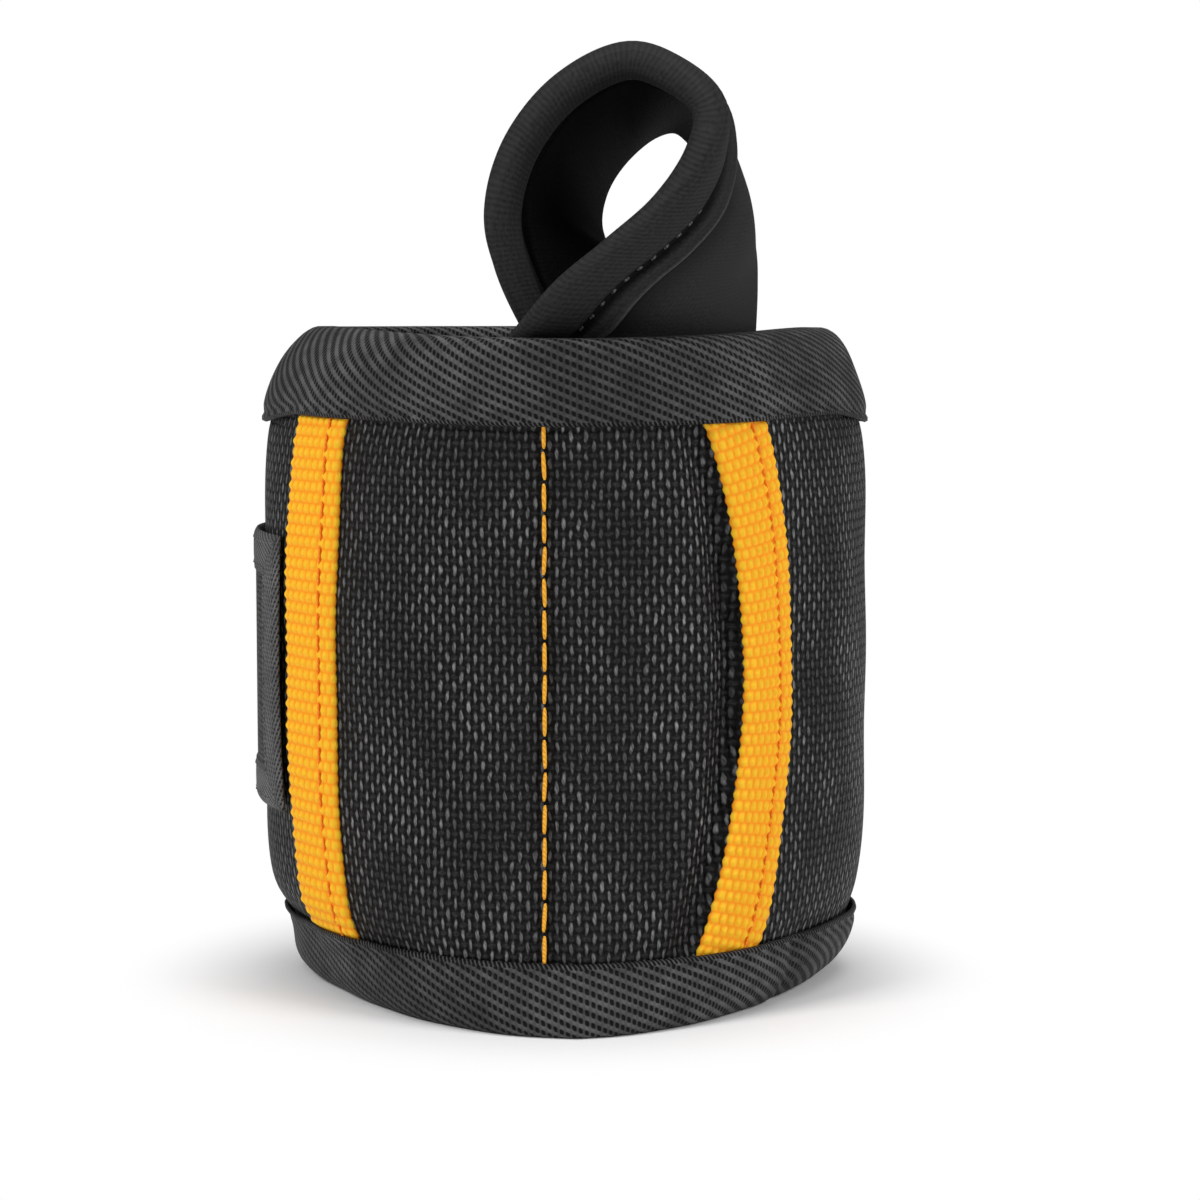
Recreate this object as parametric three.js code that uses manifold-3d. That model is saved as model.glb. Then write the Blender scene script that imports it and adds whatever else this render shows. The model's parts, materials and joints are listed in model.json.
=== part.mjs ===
import * as THREE from "three";
import { mergeVertices } from "three/addons/utils/BufferGeometryUtils.js";
import Module from "manifold-3d";

const wasm = await Module();
wasm.setup();

// Magnetic wristband, standing on its lower edge and closed as if worn.
// Millimetres, +Z up, front panel towards -Y. Left and right are the viewer's.

// The rolled band: half width and depth at mid height, and how they change at the two edges.
const bandHeight = 90;
const waistHalfWidth = 42;
const rimNarrowing = 6;
const waistFrontDepth = 37.5;
const rimFrontReach = 9;
const waistBackDepth = 30;
const rimBackReach = 3;
const rimPointing = 0.62;
const rimBackPointing = 0.4;
const noseShift = 0.7;

// Cloth layers, from the outer fabric inwards.
const layerGap = 0.3;
const shellThickness = 1;
const foamThickness = 3;
const linerThickness = 1.2;
const bindingThickness = 0.9;
const bindingFold = 0.63;
const topBindingHeight = 11.4;
const bottomBindingHeight = 9.1;
const topInnerHem = 8;
const bottomInnerHem = 6.5;
const foamLowMargin = 3.4;
const foamHighMargin = 2.4;

// Front panel: webbing strips, centre seam and magnet pockets, as arc lengths from the nose.
const webbingWidth = 11.5;
const webbingThickness = 1.4;
const leftWebbingCentre = -40.4;
const rightWebbingCentre = 28;
const rightWebbingBow = 1.5;
const centreSeam = -3.05;
const seamThreadRadius = 0.38;
const seamStitchPitch = 3.5;
const seamThreadWave = 0.12;
const pocketMargin = 1.4;
const magnetsPerPocket = 5;
const magnetLength = 14;
const magnetHeight = 9;
const magnetThickness = 1.3;
const magnetCorner = 1.2;
const magnetPitch = 12.2;
const magnetClearance = 0.3;
const magnetInset = 0.25;

// Where the band bends open, and where its two ends meet behind.
const flexPlane = -9;
const flexGap = 0.4;
const strapFlexAcross = 12;
const endGap = 10;
const tipFlexPlane = 10;

// Closure strap and its hook and loop tapes.
const strapHeight = 38;
const strapMiddle = 43.3;
const strapThickness = 0.9;
const strapAnchorLength = 20;
const tapeThickness = 0.5;
const patchMargin = 5;
const hookInset = 4;
const strapTipBinding = 6;
const strapTipGap = 1.5;
const flexOutset = 0.3;

// Thumb loop: a hemmed strip folded over and sewn in behind the front rim.
const stripWidth = 35;
const loopHeight = 34;
const loopDepth = 25.8;
const loopMiddle = { x: 9.7, y: -30.75 };
const loopTurn = 28.4;
const sleeveThickness = 2.4;
const sleeveLayerGap = 0.8;
const hemThickness = 2.2;
const hemWidth = 7;
const loopFlexRise = 1.6;
const loopBaseRise = 2.6;
const rootRise = 1.7;
const sleeveBulge = 8;
const bulgeSpan = 0.42;
const rootThickness = 2;
const rootHeight = 7.5;
const rootFrom = -0.43;
const rootTo = 0.3;

// Steps along each body.
const frontSteps = 18;
const webbingSteps = 4;
const foamSteps = 6;
const leftSteps = 13;
const rightSteps = 11;
const anchorSteps = 5;
const strapSteps = 12;
const hookSteps = 10;
const tipSteps = 5;
const tipBindingSteps = 3;
const loopSteps = 40;
const rootSteps = 8;

// Offsets from the outer fabric's face, positive outwards.
const shellIn = -shellThickness;
const foamOut = shellIn - layerGap;
const foamIn = foamOut - foamThickness;
const linerOut = foamIn - layerGap;
const linerIn = linerOut - linerThickness;
const edgeLinerOut = shellIn - layerGap;
const edgeLinerIn = edgeLinerOut - linerThickness;
const bindingOut = layerGap + bindingThickness;
const bindingIn = edgeLinerIn - layerGap - bindingThickness;
const patchOut = layerGap + tapeThickness;
const hookIn = patchOut + layerGap;
const hookOut = hookIn + tapeThickness;
const strapIn = hookOut + layerGap;
const strapOut = strapIn + strapThickness;

// Heights that the layers share.
const clothLow = bindingThickness + layerGap;
const clothHigh = bandHeight - bindingThickness - layerGap;
const topSeam = bandHeight - topBindingHeight;
const foamLow = bottomBindingHeight + foamLowMargin;
const foamHigh = topSeam - foamHighMargin;
const linerRiseFrom = bottomInnerHem + layerGap;
const linerRiseTo = foamLow - 2 * layerGap;
const linerFallFrom = foamHigh + 2 * layerGap;
const linerFallTo = bandHeight - topInnerHem - layerGap;
const strapLow = strapMiddle - strapHeight / 2;
const strapHigh = strapMiddle + strapHeight / 2;

const nylon = { color: 0x191a1b, roughness: 0.75, metalness: 0 };
const bindingTape = { color: 0x232425, roughness: 0.7, metalness: 0 };
const orangeWeb = { color: 0xff9f12, roughness: 0.65, metalness: 0 };
const spacerMesh = { color: 0x1b1c1e, roughness: 0.9, metalness: 0 };
const foamGrey = { color: 0x3a3a3c, roughness: 0.95, metalness: 0 };
const magnetSteel = { color: 0xb4b6b8, roughness: 0.35, metalness: 1 };
const hookBlack = { color: 0x141414, roughness: 0.85, metalness: 0 };
const neoprene = { color: 0x1c1d1e, roughness: 0.8, metalness: 0 };

const group = new THREE.Group();

function addMesh(name, geometry, look) {
  const mesh = new THREE.Mesh(geometry, new THREE.MeshStandardMaterial(look));
  mesh.name = name;
  group.add(mesh);
  return mesh;
}

// The rolled band's section at a height: angle 0 is the nose, +90 degrees the right side.
function section(angle, z) {
  const level = (2 * z) / bandHeight - 1;
  const halfWidth = waistHalfWidth - rimNarrowing * level ** 4;
  const c = Math.cos(angle);
  const s = Math.sin(angle);
  const front = c >= 0;
  const frontDepth = waistFrontDepth + rimFrontReach * level ** 2;
  const backDepth = waistBackDepth + rimBackReach * level ** 2;
  const depth = front ? -frontDepth : backDepth;
  const point = (front ? rimPointing : rimBackPointing) * level ** 2;
  const reach = Math.abs(c);
  const turn = front ? -s : s;
  return {
    x: halfWidth * s + (front ? noseShift * c * c : 0),
    y: depth * reach * (1 - point + point * reach),
    dx: halfWidth * c - (front ? 2 * noseShift * c * s : 0),
    dy: depth * turn * (1 - point + 2 * point * reach),
  };
}

// Arc length from the nose, tabled once for each height that is used.
const arcSteps = 1440;
const arcSpan = 1.5 * Math.PI;
const arcTables = new Map();

function arcTable(z) {
  const key = z.toFixed(4);
  if (!arcTables.has(key)) {
    const lengths = [0];
    let last = section(-arcSpan, z);
    for (let i = 1; i <= arcSteps; i += 1) {
      const next = section(-arcSpan + (2 * arcSpan * i) / arcSteps, z);
      lengths.push(lengths[i - 1] + Math.hypot(next.x - last.x, next.y - last.y));
      last = next;
    }
    const nose = lengths[arcSteps / 2];
    arcTables.set(key, lengths.map((length) => length - nose));
  }
  return arcTables.get(key);
}

function angleAt(arc, z) {
  const table = arcTable(z);
  let low = 0;
  let high = arcSteps;
  while (high - low > 1) {
    const middle = (low + high) >> 1;
    if (table[middle] <= arc) {
      low = middle;
    } else {
      high = middle;
    }
  }
  const part = (arc - table[low]) / (table[high] - table[low]);
  return -arcSpan + (2 * arcSpan * (low + part)) / arcSteps;
}

function arcAt(angle, z) {
  const table = arcTable(z);
  const place = ((angle + arcSpan) / (2 * arcSpan)) * arcSteps;
  const low = Math.min(Math.floor(place), arcSteps - 1);
  return table[low] + (table[low + 1] - table[low]) * (place - low);
}

// A point of the band at an angle and height, moved out along the section's normal.
function pointAtAngle(angle, z, offset) {
  const at = section(angle, z);
  const speed = Math.hypot(at.dx, at.dy);
  return new THREE.Vector3(at.x + (offset * at.dy) / speed, at.y - (offset * at.dx) / speed, z);
}

function bandPoint(arc, z, offset) {
  return pointAtAngle(angleAt(arc, z), z, offset);
}

// The arc length where the band crosses the plane x = value or y = value, between two angles.
function planeEdge(axis, value, angleFrom, angleTo) {
  return (z, offset) => {
    let low = angleFrom;
    let high = angleTo;
    const rising = pointAtAngle(high, z, offset)[axis] > pointAtAngle(low, z, offset)[axis];
    for (let i = 0; i < 40; i += 1) {
      const middle = (low + high) / 2;
      if (pointAtAngle(middle, z, offset)[axis] < value === rising) {
        low = middle;
      } else {
        high = middle;
      }
    }
    return arcAt((low + high) / 2, z);
  };
}

const leftPlane = (value) => planeEdge("y", value, -0.1 * Math.PI, -0.9 * Math.PI);
const rightPlane = (value) => planeEdge("y", value, 0.1 * Math.PI, 0.9 * Math.PI);
const backPlaneFromLeft = (value) => planeEdge("x", value, -0.6 * Math.PI, -1.4 * Math.PI);
const backPlaneFromRight = (value) => planeEdge("x", value, 0.6 * Math.PI, 1.4 * Math.PI);
const fixedEdge = (arc) => () => arc;

// Triangles between two rows of points that run side by side.
function zip(outer, inner) {
  const triangles = [];
  let i = 0;
  let j = 0;
  while (i + 1 < outer.length || j + 1 < inner.length) {
    const outerPart = (i + 0.5) / (outer.length - 1);
    const innerPart = (j + 0.5) / (inner.length - 1);
    if (j + 1 === inner.length || (i + 1 < outer.length && outerPart <= innerPart)) {
      triangles.push([outer[i], outer[i + 1], inner[j]]);
      i += 1;
    } else {
      triangles.push([outer[i], inner[j + 1], inner[j]]);
      j += 1;
    }
  }
  return triangles;
}

// A closed body from rings of points. Each ring runs along its outer row and back along its inner row.
function bodyFromRings(rings, outerCount) {
  const count = rings[0].length;
  const positions = rings.flat().flatMap((p) => [p.x, p.y, p.z]);
  const index = [];
  for (let i = 0; i + 1 < rings.length; i += 1) {
    for (let j = 0; j < count; j += 1) {
      const a = i * count + j;
      const b = i * count + ((j + 1) % count);
      index.push(a, b, b + count, a, b + count, a + count);
    }
  }
  const order = Array.from({ length: count }, (_, i) => i);
  const end = (rings.length - 1) * count;
  for (const [a, b, c] of zip(order.slice(0, outerCount), order.slice(outerCount).reverse())) {
    index.push(a, c, b);
    index.push(end + a, end + b, end + c);
  }
  const geometry = new THREE.BufferGeometry();
  geometry.setAttribute("position", new THREE.Float32BufferAttribute(positions, 3));
  geometry.setIndex(index);
  if (signedVolume(geometry) < 0) {
    for (let i = 0; i < index.length; i += 3) {
      [index[i], index[i + 1]] = [index[i + 1], index[i]];
    }
    geometry.setIndex(index);
  }
  geometry.computeVertexNormals();
  return geometry;
}

function signedVolume(geometry) {
  const place = geometry.getAttribute("position");
  const index = geometry.getIndex().array;
  const a = new THREE.Vector3();
  const b = new THREE.Vector3();
  const c = new THREE.Vector3();
  let volume = 0;
  for (let i = 0; i < index.length; i += 3) {
    a.fromBufferAttribute(place, index[i]);
    b.fromBufferAttribute(place, index[i + 1]);
    c.fromBufferAttribute(place, index[i + 2]);
    volume += a.dot(b.cross(c)) / 6;
  }
  return volume;
}

// A body swept round the band between two edges. Its outline is offset against height, an outer row
// and an inner row that run the same way.
function sweep({ outer, inner }, from, to, steps) {
  const outline = [...outer, ...[...inner].reverse()];
  const starts = outline.map((p) => from(p.y, p.x));
  const ends = outline.map((p) => to(p.y, p.x));
  const rings = [];
  for (let i = 0; i <= steps; i += 1) {
    rings.push(outline.map((p, j) => bandPoint(starts[j] + ((ends[j] - starts[j]) * i) / steps, p.y, p.x)));
  }
  return bodyFromRings(rings, outer.length);
}

function spread(from, to, steps) {
  return Array.from({ length: steps + 1 }, (_, i) => from + ((to - from) * i) / steps);
}

// Heights at which every layer turns, closer together near the curled edges.
const levels = [0, 0.05, 0.1, 0.15, 0.21, 0.3, 0.4, 0.5, 0.6, 0.7, 0.79, 0.85, 0.9, 0.95, 1].map(
  (part) => part * bandHeight,
);
const leastStep = 0.8;

function heightsBetween(low, high, extra = []) {
  const own = [low, ...extra, high];
  const shared = levels.filter(
    (z) => z > low && z < high && own.every((height) => Math.abs(height - z) > leastStep),
  );
  return [...own, ...shared].sort((a, b) => a - b);
}

// A layer of cloth between two offsets, which may change with height.
function layer(heights, outer, inner) {
  return {
    outer: heights.map((z) => new THREE.Vector2(outer(z), z)),
    inner: heights.map((z) => new THREE.Vector2(inner(z), z)),
  };
}

function flatLayer(low, high, outer, inner) {
  return layer(heightsBetween(low, high), () => outer, () => inner);
}

// Binding tape folded over an edge: down its outer leg, over the fold and down its inner leg.
function bindingOutline(edge, outerSeam, innerSeam) {
  const inward = Math.sign(outerSeam - edge);
  const innerFace = edgeLinerIn - layerGap;
  const at = (offset, z) => new THREE.Vector2(offset, z);
  const outerLeg = spread(outerSeam, edge + inward * bindingFold, 3);
  const innerLeg = spread(edge + inward * bindingFold, innerSeam, 2);
  const outerLining = spread(outerSeam, edge + inward * bindingThickness, 3);
  const innerLining = spread(edge + inward * bindingThickness, innerSeam, 2);
  return {
    outer: [
      ...outerLeg.map((z) => at(bindingOut, z)),
      at(bindingOut - bindingFold, edge),
      at(bindingIn + bindingFold, edge),
      ...innerLeg.map((z) => at(bindingIn, z)),
    ],
    inner: [...outerLining.map((z) => at(layerGap, z)), ...innerLining.map((z) => at(innerFace, z))],
  };
}

const topBindingOutline = bindingOutline(bandHeight, topSeam, bandHeight - topInnerHem);
const bottomBindingOutline = bindingOutline(0, bottomBindingHeight, bottomInnerHem);

// The liner lies against the outer fabric at both edges and behind the foam between them.
function linerDepth(z) {
  const rise = THREE.MathUtils.clamp((z - linerRiseFrom) / (linerRiseTo - linerRiseFrom), 0, 1);
  const fall = THREE.MathUtils.clamp((linerFallTo - z) / (linerFallTo - linerFallFrom), 0, 1);
  return Math.min(rise, fall);
}

const linerTurns = [linerRiseFrom, linerRiseTo, linerFallFrom, linerFallTo];
const linerOutline = layer(
  heightsBetween(clothLow, clothHigh, linerTurns),
  (z) => edgeLinerOut + (linerOut - edgeLinerOut) * linerDepth(z),
  (z) => edgeLinerIn + (linerIn - edgeLinerIn) * linerDepth(z),
);
const shellOutline = flatLayer(clothLow, clothHigh, 0, shellIn);
const wingLinerOutline = flatLayer(clothLow, clothHigh, edgeLinerOut, edgeLinerIn);

// Front panel.
const halfGap = flexGap / 2;
const frontFrom = leftPlane(flexPlane - halfGap);
const frontTo = rightPlane(flexPlane - halfGap);

addMesh("front_panel", sweep(shellOutline, frontFrom, frontTo, frontSteps), nylon);
addMesh("front_liner", sweep(linerOutline, frontFrom, frontTo, frontSteps), spacerMesh);
addMesh("top_binding_front", sweep(topBindingOutline, frontFrom, frontTo, frontSteps), bindingTape);
addMesh("bottom_binding_front", sweep(bottomBindingOutline, frontFrom, frontTo, frontSteps), bindingTape);

// Orange webbing strips, sewn on between the two bindings.
const webbingLow = bottomBindingHeight + layerGap;
const webbingHigh = topSeam - layerGap;
const webbingOutline = flatLayer(webbingLow, webbingHigh, layerGap + webbingThickness, layerGap);

function webbing(name, centre, bow) {
  const bowed = (z) => centre - bow * (2 * ((2 * z) / bandHeight - 1) ** 2 - 0.5);
  const from = (z) => bowed(z) - webbingWidth / 2;
  const to = (z) => bowed(z) + webbingWidth / 2;
  addMesh(name, sweep(webbingOutline, from, to, webbingSteps), orangeWeb);
}

webbing("left_webbing", leftWebbingCentre, 0);
webbing("right_webbing", rightWebbingCentre, rightWebbingBow);

// Thread of the centre seam, rising and dipping once a stitch.
const threadLift = layerGap + seamThreadRadius;
const threadLength = webbingHigh - webbingLow;
const stitchCount = Math.round(threadLength / seamStitchPitch);
const threadPoints = spread(webbingLow + seamThreadRadius, webbingHigh - seamThreadRadius, stitchCount).map(
  (z, i) => bandPoint(centreSeam, z, threadLift + seamThreadWave * (i % 2)),
);
const threadSection = new THREE.Shape(
  Array.from({ length: 6 }, (_, i) => {
    const turn = (Math.PI * i) / 3;
    return new THREE.Vector2(seamThreadRadius * Math.cos(turn), seamThreadRadius * Math.sin(turn));
  }),
);
addMesh(
  "centre_seam_thread",
  new THREE.ExtrudeGeometry(threadSection, {
    steps: stitchCount,
    extrudePath: new THREE.CatmullRomCurve3(threadPoints, false, "centripetal"),
  }),
  orangeWeb,
);

// Magnet bars in two foam carriers, each bar in its own recess open to the outer fabric.
function toSolid(geometry, matrix) {
  const plain = geometry.clone();
  plain.deleteAttribute("normal");
  plain.deleteAttribute("uv");
  plain.applyMatrix4(matrix);
  const merged = mergeVertices(plain, 1e-4);
  const vertProperties = new Float32Array(merged.getAttribute("position").array);
  const triVerts = new Uint32Array(merged.getIndex().array);
  return new wasm.Manifold(new wasm.Mesh({ numProp: 3, vertProperties, triVerts }));
}

function fromSolid(solid) {
  const mesh = solid.getMesh();
  const geometry = new THREE.BufferGeometry();
  geometry.setAttribute("position", new THREE.Float32BufferAttribute(mesh.vertProperties, 3));
  geometry.setIndex(Array.from(mesh.triVerts));
  geometry.computeVertexNormals();
  return geometry;
}

function roundedPlate(length, height, thickness, radius) {
  const shape = new THREE.Shape();
  const x = length / 2;
  const y = height / 2;
  shape.moveTo(-x + radius, -y);
  shape.lineTo(x - radius, -y);
  shape.quadraticCurveTo(x, -y, x, -y + radius);
  shape.lineTo(x, y - radius);
  shape.quadraticCurveTo(x, y, x - radius, y);
  shape.lineTo(-x + radius, y);
  shape.quadraticCurveTo(-x, y, -x, y - radius);
  shape.lineTo(-x, -y + radius);
  shape.quadraticCurveTo(-x, -y, -x + radius, -y);
  const settings = { depth: thickness, bevelEnabled: false, curveSegments: 2 };
  return new THREE.ExtrudeGeometry(shape, settings).translate(0, 0, -thickness / 2);
}

// A frame on the band's face: x along the band, y up its slope, z out of it.
function faceFrame(arc, z, offset) {
  const along = bandPoint(arc + 0.5, z, offset).sub(bandPoint(arc - 0.5, z, offset)).normalize();
  const slope = bandPoint(arc, z + 0.5, offset).sub(bandPoint(arc, z - 0.5, offset));
  const out = along.clone().cross(slope).normalize();
  const up = out.clone().cross(along);
  return new THREE.Matrix4().makeBasis(along, up, out).setPosition(bandPoint(arc, z, offset));
}

const foamOutline = flatLayer(foamLow, foamHigh, foamOut, foamIn);
const identity = new THREE.Matrix4();
const magnetPlate = roundedPlate(magnetLength, magnetHeight, magnetThickness, magnetCorner);
const recessReach = foamThickness * 2;

function pocket(side, from, to) {
  let foam = toSolid(sweep(foamOutline, fixedEdge(from), fixedEdge(to), foamSteps), identity);
  const middle = (from + to) / 2;
  const lowest = (foamLow + foamHigh) / 2 - (magnetPitch * (magnetsPerPocket - 1)) / 2;
  for (let i = 0; i < magnetsPerPocket; i += 1) {
    const frame = faceFrame(middle, lowest + i * magnetPitch, (foamOut + foamIn) / 2 - magnetInset);
    const recess = roundedPlate(
      magnetLength + 2 * magnetClearance,
      magnetHeight + 2 * magnetClearance,
      magnetThickness + magnetClearance + recessReach,
      magnetCorner,
    ).translate(0, 0, (recessReach - magnetClearance) / 2);
    foam = foam.subtract(toSolid(recess, frame));
    const magnet = addMesh(`magnet_${side}_${i + 1}`, magnetPlate.clone(), magnetSteel);
    frame.decompose(magnet.position, magnet.quaternion, magnet.scale);
  }
  addMesh(`magnet_carrier_${side}`, fromSolid(foam), foamGrey);
}

const webbingEdge = webbingWidth / 2;
const leftPocketFrom = leftWebbingCentre + webbingEdge + pocketMargin;
const rightPocketTo = rightWebbingCentre - webbingEdge - rightWebbingBow - pocketMargin;
pocket("left", leftPocketFrom, centreSeam - pocketMargin);
pocket("right", centreSeam + pocketMargin, rightPocketTo);

// The two wings, which run back from the front panel and end with a gap behind.
const leftEnd = (inset) => backPlaneFromLeft(strapFlexAcross - endGap - inset);
const rightEnd = (inset) => backPlaneFromRight(strapFlexAcross + halfGap + inset);
const endOutline = flatLayer(bottomBindingHeight + layerGap, topSeam - layerGap, 0, edgeLinerIn);

function wing(side, from, endAt, steps) {
  const clothTo = endAt(bindingThickness + layerGap);
  const bindingTo = endAt(0);
  addMesh(`${side}_wing_shell`, sweep(shellOutline, from, clothTo, steps), nylon);
  addMesh(`${side}_wing_liner`, sweep(wingLinerOutline, from, clothTo, steps), spacerMesh);
  addMesh(`${side}_top_binding`, sweep(topBindingOutline, from, bindingTo, steps), bindingTape);
  addMesh(`${side}_bottom_binding`, sweep(bottomBindingOutline, from, bindingTo, steps), bindingTape);
  addMesh(`${side}_end_binding`, sweep(endOutline, endAt(bindingThickness), bindingTo, 1), bindingTape);
}

wing("left", leftPlane(flexPlane + halfGap), leftEnd, leftSteps);
wing("right", rightPlane(flexPlane + halfGap), rightEnd, rightSteps);

// Loop tape on the left wing, where the strap's hook tape holds.
const patchOutline = flatLayer(strapLow - patchMargin, strapHigh + patchMargin, patchOut, layerGap);
const patchFrom = leftPlane(flexPlane + halfGap + flexOutset);
const patchTo = leftEnd(patchMargin);
addMesh("loop_patch", sweep(patchOutline, patchFrom, patchTo, leftSteps), hookBlack);

// The strap: sewn to the right wing's end, then round the back and over the left wing.
const anchorOutline = flatLayer(strapLow, strapHigh, strapOut, layerGap);
const strapOutline = flatLayer(strapLow, strapHigh, strapOut, strapIn);
const hookOutline = flatLayer(strapLow + hookInset, strapHigh - hookInset, hookOut, hookIn);
const strapTip = leftWebbingCentre - webbingEdge - strapTipGap;
const anchorFrom = backPlaneFromRight(strapFlexAcross + strapAnchorLength);
addMesh("strap_anchor", sweep(anchorOutline, anchorFrom, rightEnd(0), anchorSteps), nylon);

const rootFromEdge = leftPlane(tipFlexPlane + halfGap);
const rootToEdge = backPlaneFromLeft(strapFlexAcross - halfGap);
addMesh("strap_web", sweep(strapOutline, rootFromEdge, rootToEdge, strapSteps), nylon);
addMesh("strap_hook_tape", sweep(hookOutline, rootFromEdge, patchTo, hookSteps), hookBlack);

const tipFromEdge = leftPlane(tipFlexPlane - halfGap);
const tipBindingEdge = fixedEdge(strapTip - strapTipBinding);
const tipWebEdge = fixedEdge(strapTip - strapTipBinding - layerGap);
addMesh("strap_tip_web", sweep(strapOutline, tipWebEdge, tipFromEdge, tipSteps), nylon);
addMesh("strap_tip_hook_tape", sweep(hookOutline, tipWebEdge, tipFromEdge, tipSteps), hookBlack);
const tipBinding = sweep(strapOutline, fixedEdge(strapTip), tipBindingEdge, tipBindingSteps);
addMesh("strap_tip_binding", tipBinding, bindingTape);

// The thumb loop's frame: along the sewn edge, out of the band, up.
const turn = THREE.MathUtils.degToRad(loopTurn);
const loopAlong = new THREE.Vector3(Math.cos(turn), Math.sin(turn), 0);
const loopOut = new THREE.Vector3(Math.sin(turn), -Math.cos(turn), 0);

function loopPoint(along, out, rise) {
  return new THREE.Vector3(loopMiddle.x, loopMiddle.y, bandHeight + rise)
    .addScaledVector(loopAlong, along)
    .addScaledVector(loopOut, out);
}

// The strip's two edges, as parts of its width, the loop's depth and the loop's height.
const nearShape = [
  [-0.41, 0.22, 0.2],
  [-0.28, 0.36, 0.36],
  [-0.12, 0.47, 0.53],
  [0.02, 0.51, 0.7],
  [0.09, 0.45, 0.84],
  [0.04, 0.31, 0.95],
  [-0.08, 0.12, 1],
  [-0.24, -0.05, 0.91],
  [-0.37, -0.17, 0.7],
  [-0.44, -0.2, 0.42],
  [-0.46, -0.15, 0.22],
];
const farShape = [
  [0.53, -0.09, 0.18],
  [0.58, -0.25, 0.35],
  [0.61, -0.42, 0.54],
  [0.59, -0.57, 0.7],
  [0.52, -0.71, 0.79],
  [0.41, -0.83, 0.77],
  [0.31, -0.95, 0.66],
  [0.24, -1, 0.52],
  [0.21, -0.97, 0.37],
  [0.23, -0.74, 0.21],
  [0.34, -0.42, 0.14],
];
const layerStep = (sleeveThickness + sleeveLayerGap) / 2;

function stripEdge(shape, side) {
  const inner = shape.map(([along, out, rise]) =>
    loopPoint(along * stripWidth, out * loopDepth, rise * loopHeight),
  );
  const first = loopPoint((side * stripWidth) / 2, layerStep, loopBaseRise);
  const last = loopPoint((side * stripWidth) / 2, -layerStep, loopBaseRise);
  return new THREE.CatmullRomCurve3([first, ...inner, last], false, "centripetal");
}

const nearEdge = stripEdge(nearShape, -1).getSpacedPoints(loopSteps);
const farEdge = stripEdge(farShape, 1).getSpacedPoints(loopSteps);
const stripMiddle = nearEdge.map((p, i) => p.clone().add(farEdge[i]).multiplyScalar(0.5));

// Directions square to the strip, out of the loop: up at its crown.
const stripOut = stripMiddle.map((p, i) => {
  const before = stripMiddle[Math.max(i - 1, 0)];
  const after = stripMiddle[Math.min(i + 1, loopSteps)];
  return after.clone().sub(before).cross(farEdge[i].clone().sub(nearEdge[i])).normalize();
});
const outward = Math.sign(stripOut[Math.round(loopSteps / 2)].z);

// The strip's middle face: straight across between its edges, but swelling out on the loop's front run.
function stripFace(i, part) {
  const run = Math.min(i / loopSteps / bulgeSpan, 1);
  const swell = sleeveBulge * Math.sin(Math.PI * run) ** 2 * 4 * part * (1 - part);
  return nearEdge[i].clone().lerp(farEdge[i], part).addScaledVector(stripOut[i], outward * swell);
}

function stripPoint(i, part, offset) {
  const along = stripFace(Math.min(i + 1, loopSteps), part).sub(stripFace(Math.max(i - 1, 0), part));
  const across = stripFace(i, part + 0.02).sub(stripFace(i, part - 0.02));
  return stripFace(i, part).addScaledVector(along.cross(across).normalize(), outward * offset);
}

// A body along the strip. Its outline is a part of the width, from the near edge, against offset.
function alongStrip(outlineAt, from, to) {
  const rings = [];
  for (let i = from; i <= to; i += 1) {
    const { outer, inner } = outlineAt(nearEdge[i].distanceTo(farEdge[i]));
    const outline = [...outer, ...[...inner].reverse()];
    rings.push(outline.map(([part, offset]) => stripPoint(i, part, offset)));
  }
  return bodyFromRings(rings, outlineAt(stripWidth).outer.length);
}

const sleeveFace = sleeveThickness / 2;
const sleeveOutline = () => ({
  outer: spread(0, 1, 5).map((part) => [part, sleeveFace]),
  inner: spread(0, 1, 5).map((part) => [part, -sleeveFace]),
});

// A turned hem: a second thickness laid on the strip's outer face along one edge.
const hemIn = sleeveFace + layerGap;
const hemOut = hemIn + hemThickness;
const hemShoulder = hemThickness / 2;
const hemOuter = [
  [0, hemOut - hemShoulder],
  [hemShoulder, hemOut],
  [hemWidth - hemShoulder, hemOut],
  [hemWidth, hemOut - hemShoulder],
];
const hemInner = [
  [0, hemIn],
  [hemWidth, hemIn],
];

function hemAt(place) {
  return (width) => ({
    outer: hemOuter.map(([across, offset]) => [place(across / width), offset]),
    inner: hemInner.map(([across, offset]) => [place(across / width), offset]),
  });
}

const hemStart = 3;

addMesh("thumb_loop_sleeve", alongStrip(sleeveOutline, 0, loopSteps), neoprene);
const nearHem = alongStrip(hemAt((part) => part), hemStart, loopSteps - hemStart);
const farHem = alongStrip(hemAt((part) => 1 - part), hemStart, loopSteps - hemStart);
addMesh("thumb_loop_near_hem", nearHem, neoprene);
addMesh("thumb_loop_far_hem", farHem, neoprene);

// The loop's sewn root, from the binding's inner leg up to the line that the loop bends on.
const rootLow = bandHeight - rootHeight;
const rootRings = spread(rootFrom, rootTo, rootSteps).map((part) => {
  const top = loopPoint(part * stripWidth, 0, rootRise);
  const arc = planeEdge("x", top.x, -0.45 * Math.PI, 0.45 * Math.PI)(rootLow, bindingIn);
  const outerLow = bandPoint(arc, rootLow, bindingIn - layerGap);
  const innerLow = bandPoint(arc, rootLow, bindingIn - layerGap - rootThickness);
  const outerHigh = top.clone().addScaledVector(loopOut, rootThickness / 2);
  const innerHigh = top.clone().addScaledVector(loopOut, -rootThickness / 2);
  return [outerLow, outerHigh, innerHigh, innerLow];
});
addMesh("thumb_loop_root", bodyFromRings(rootRings, 2), neoprene);

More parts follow.
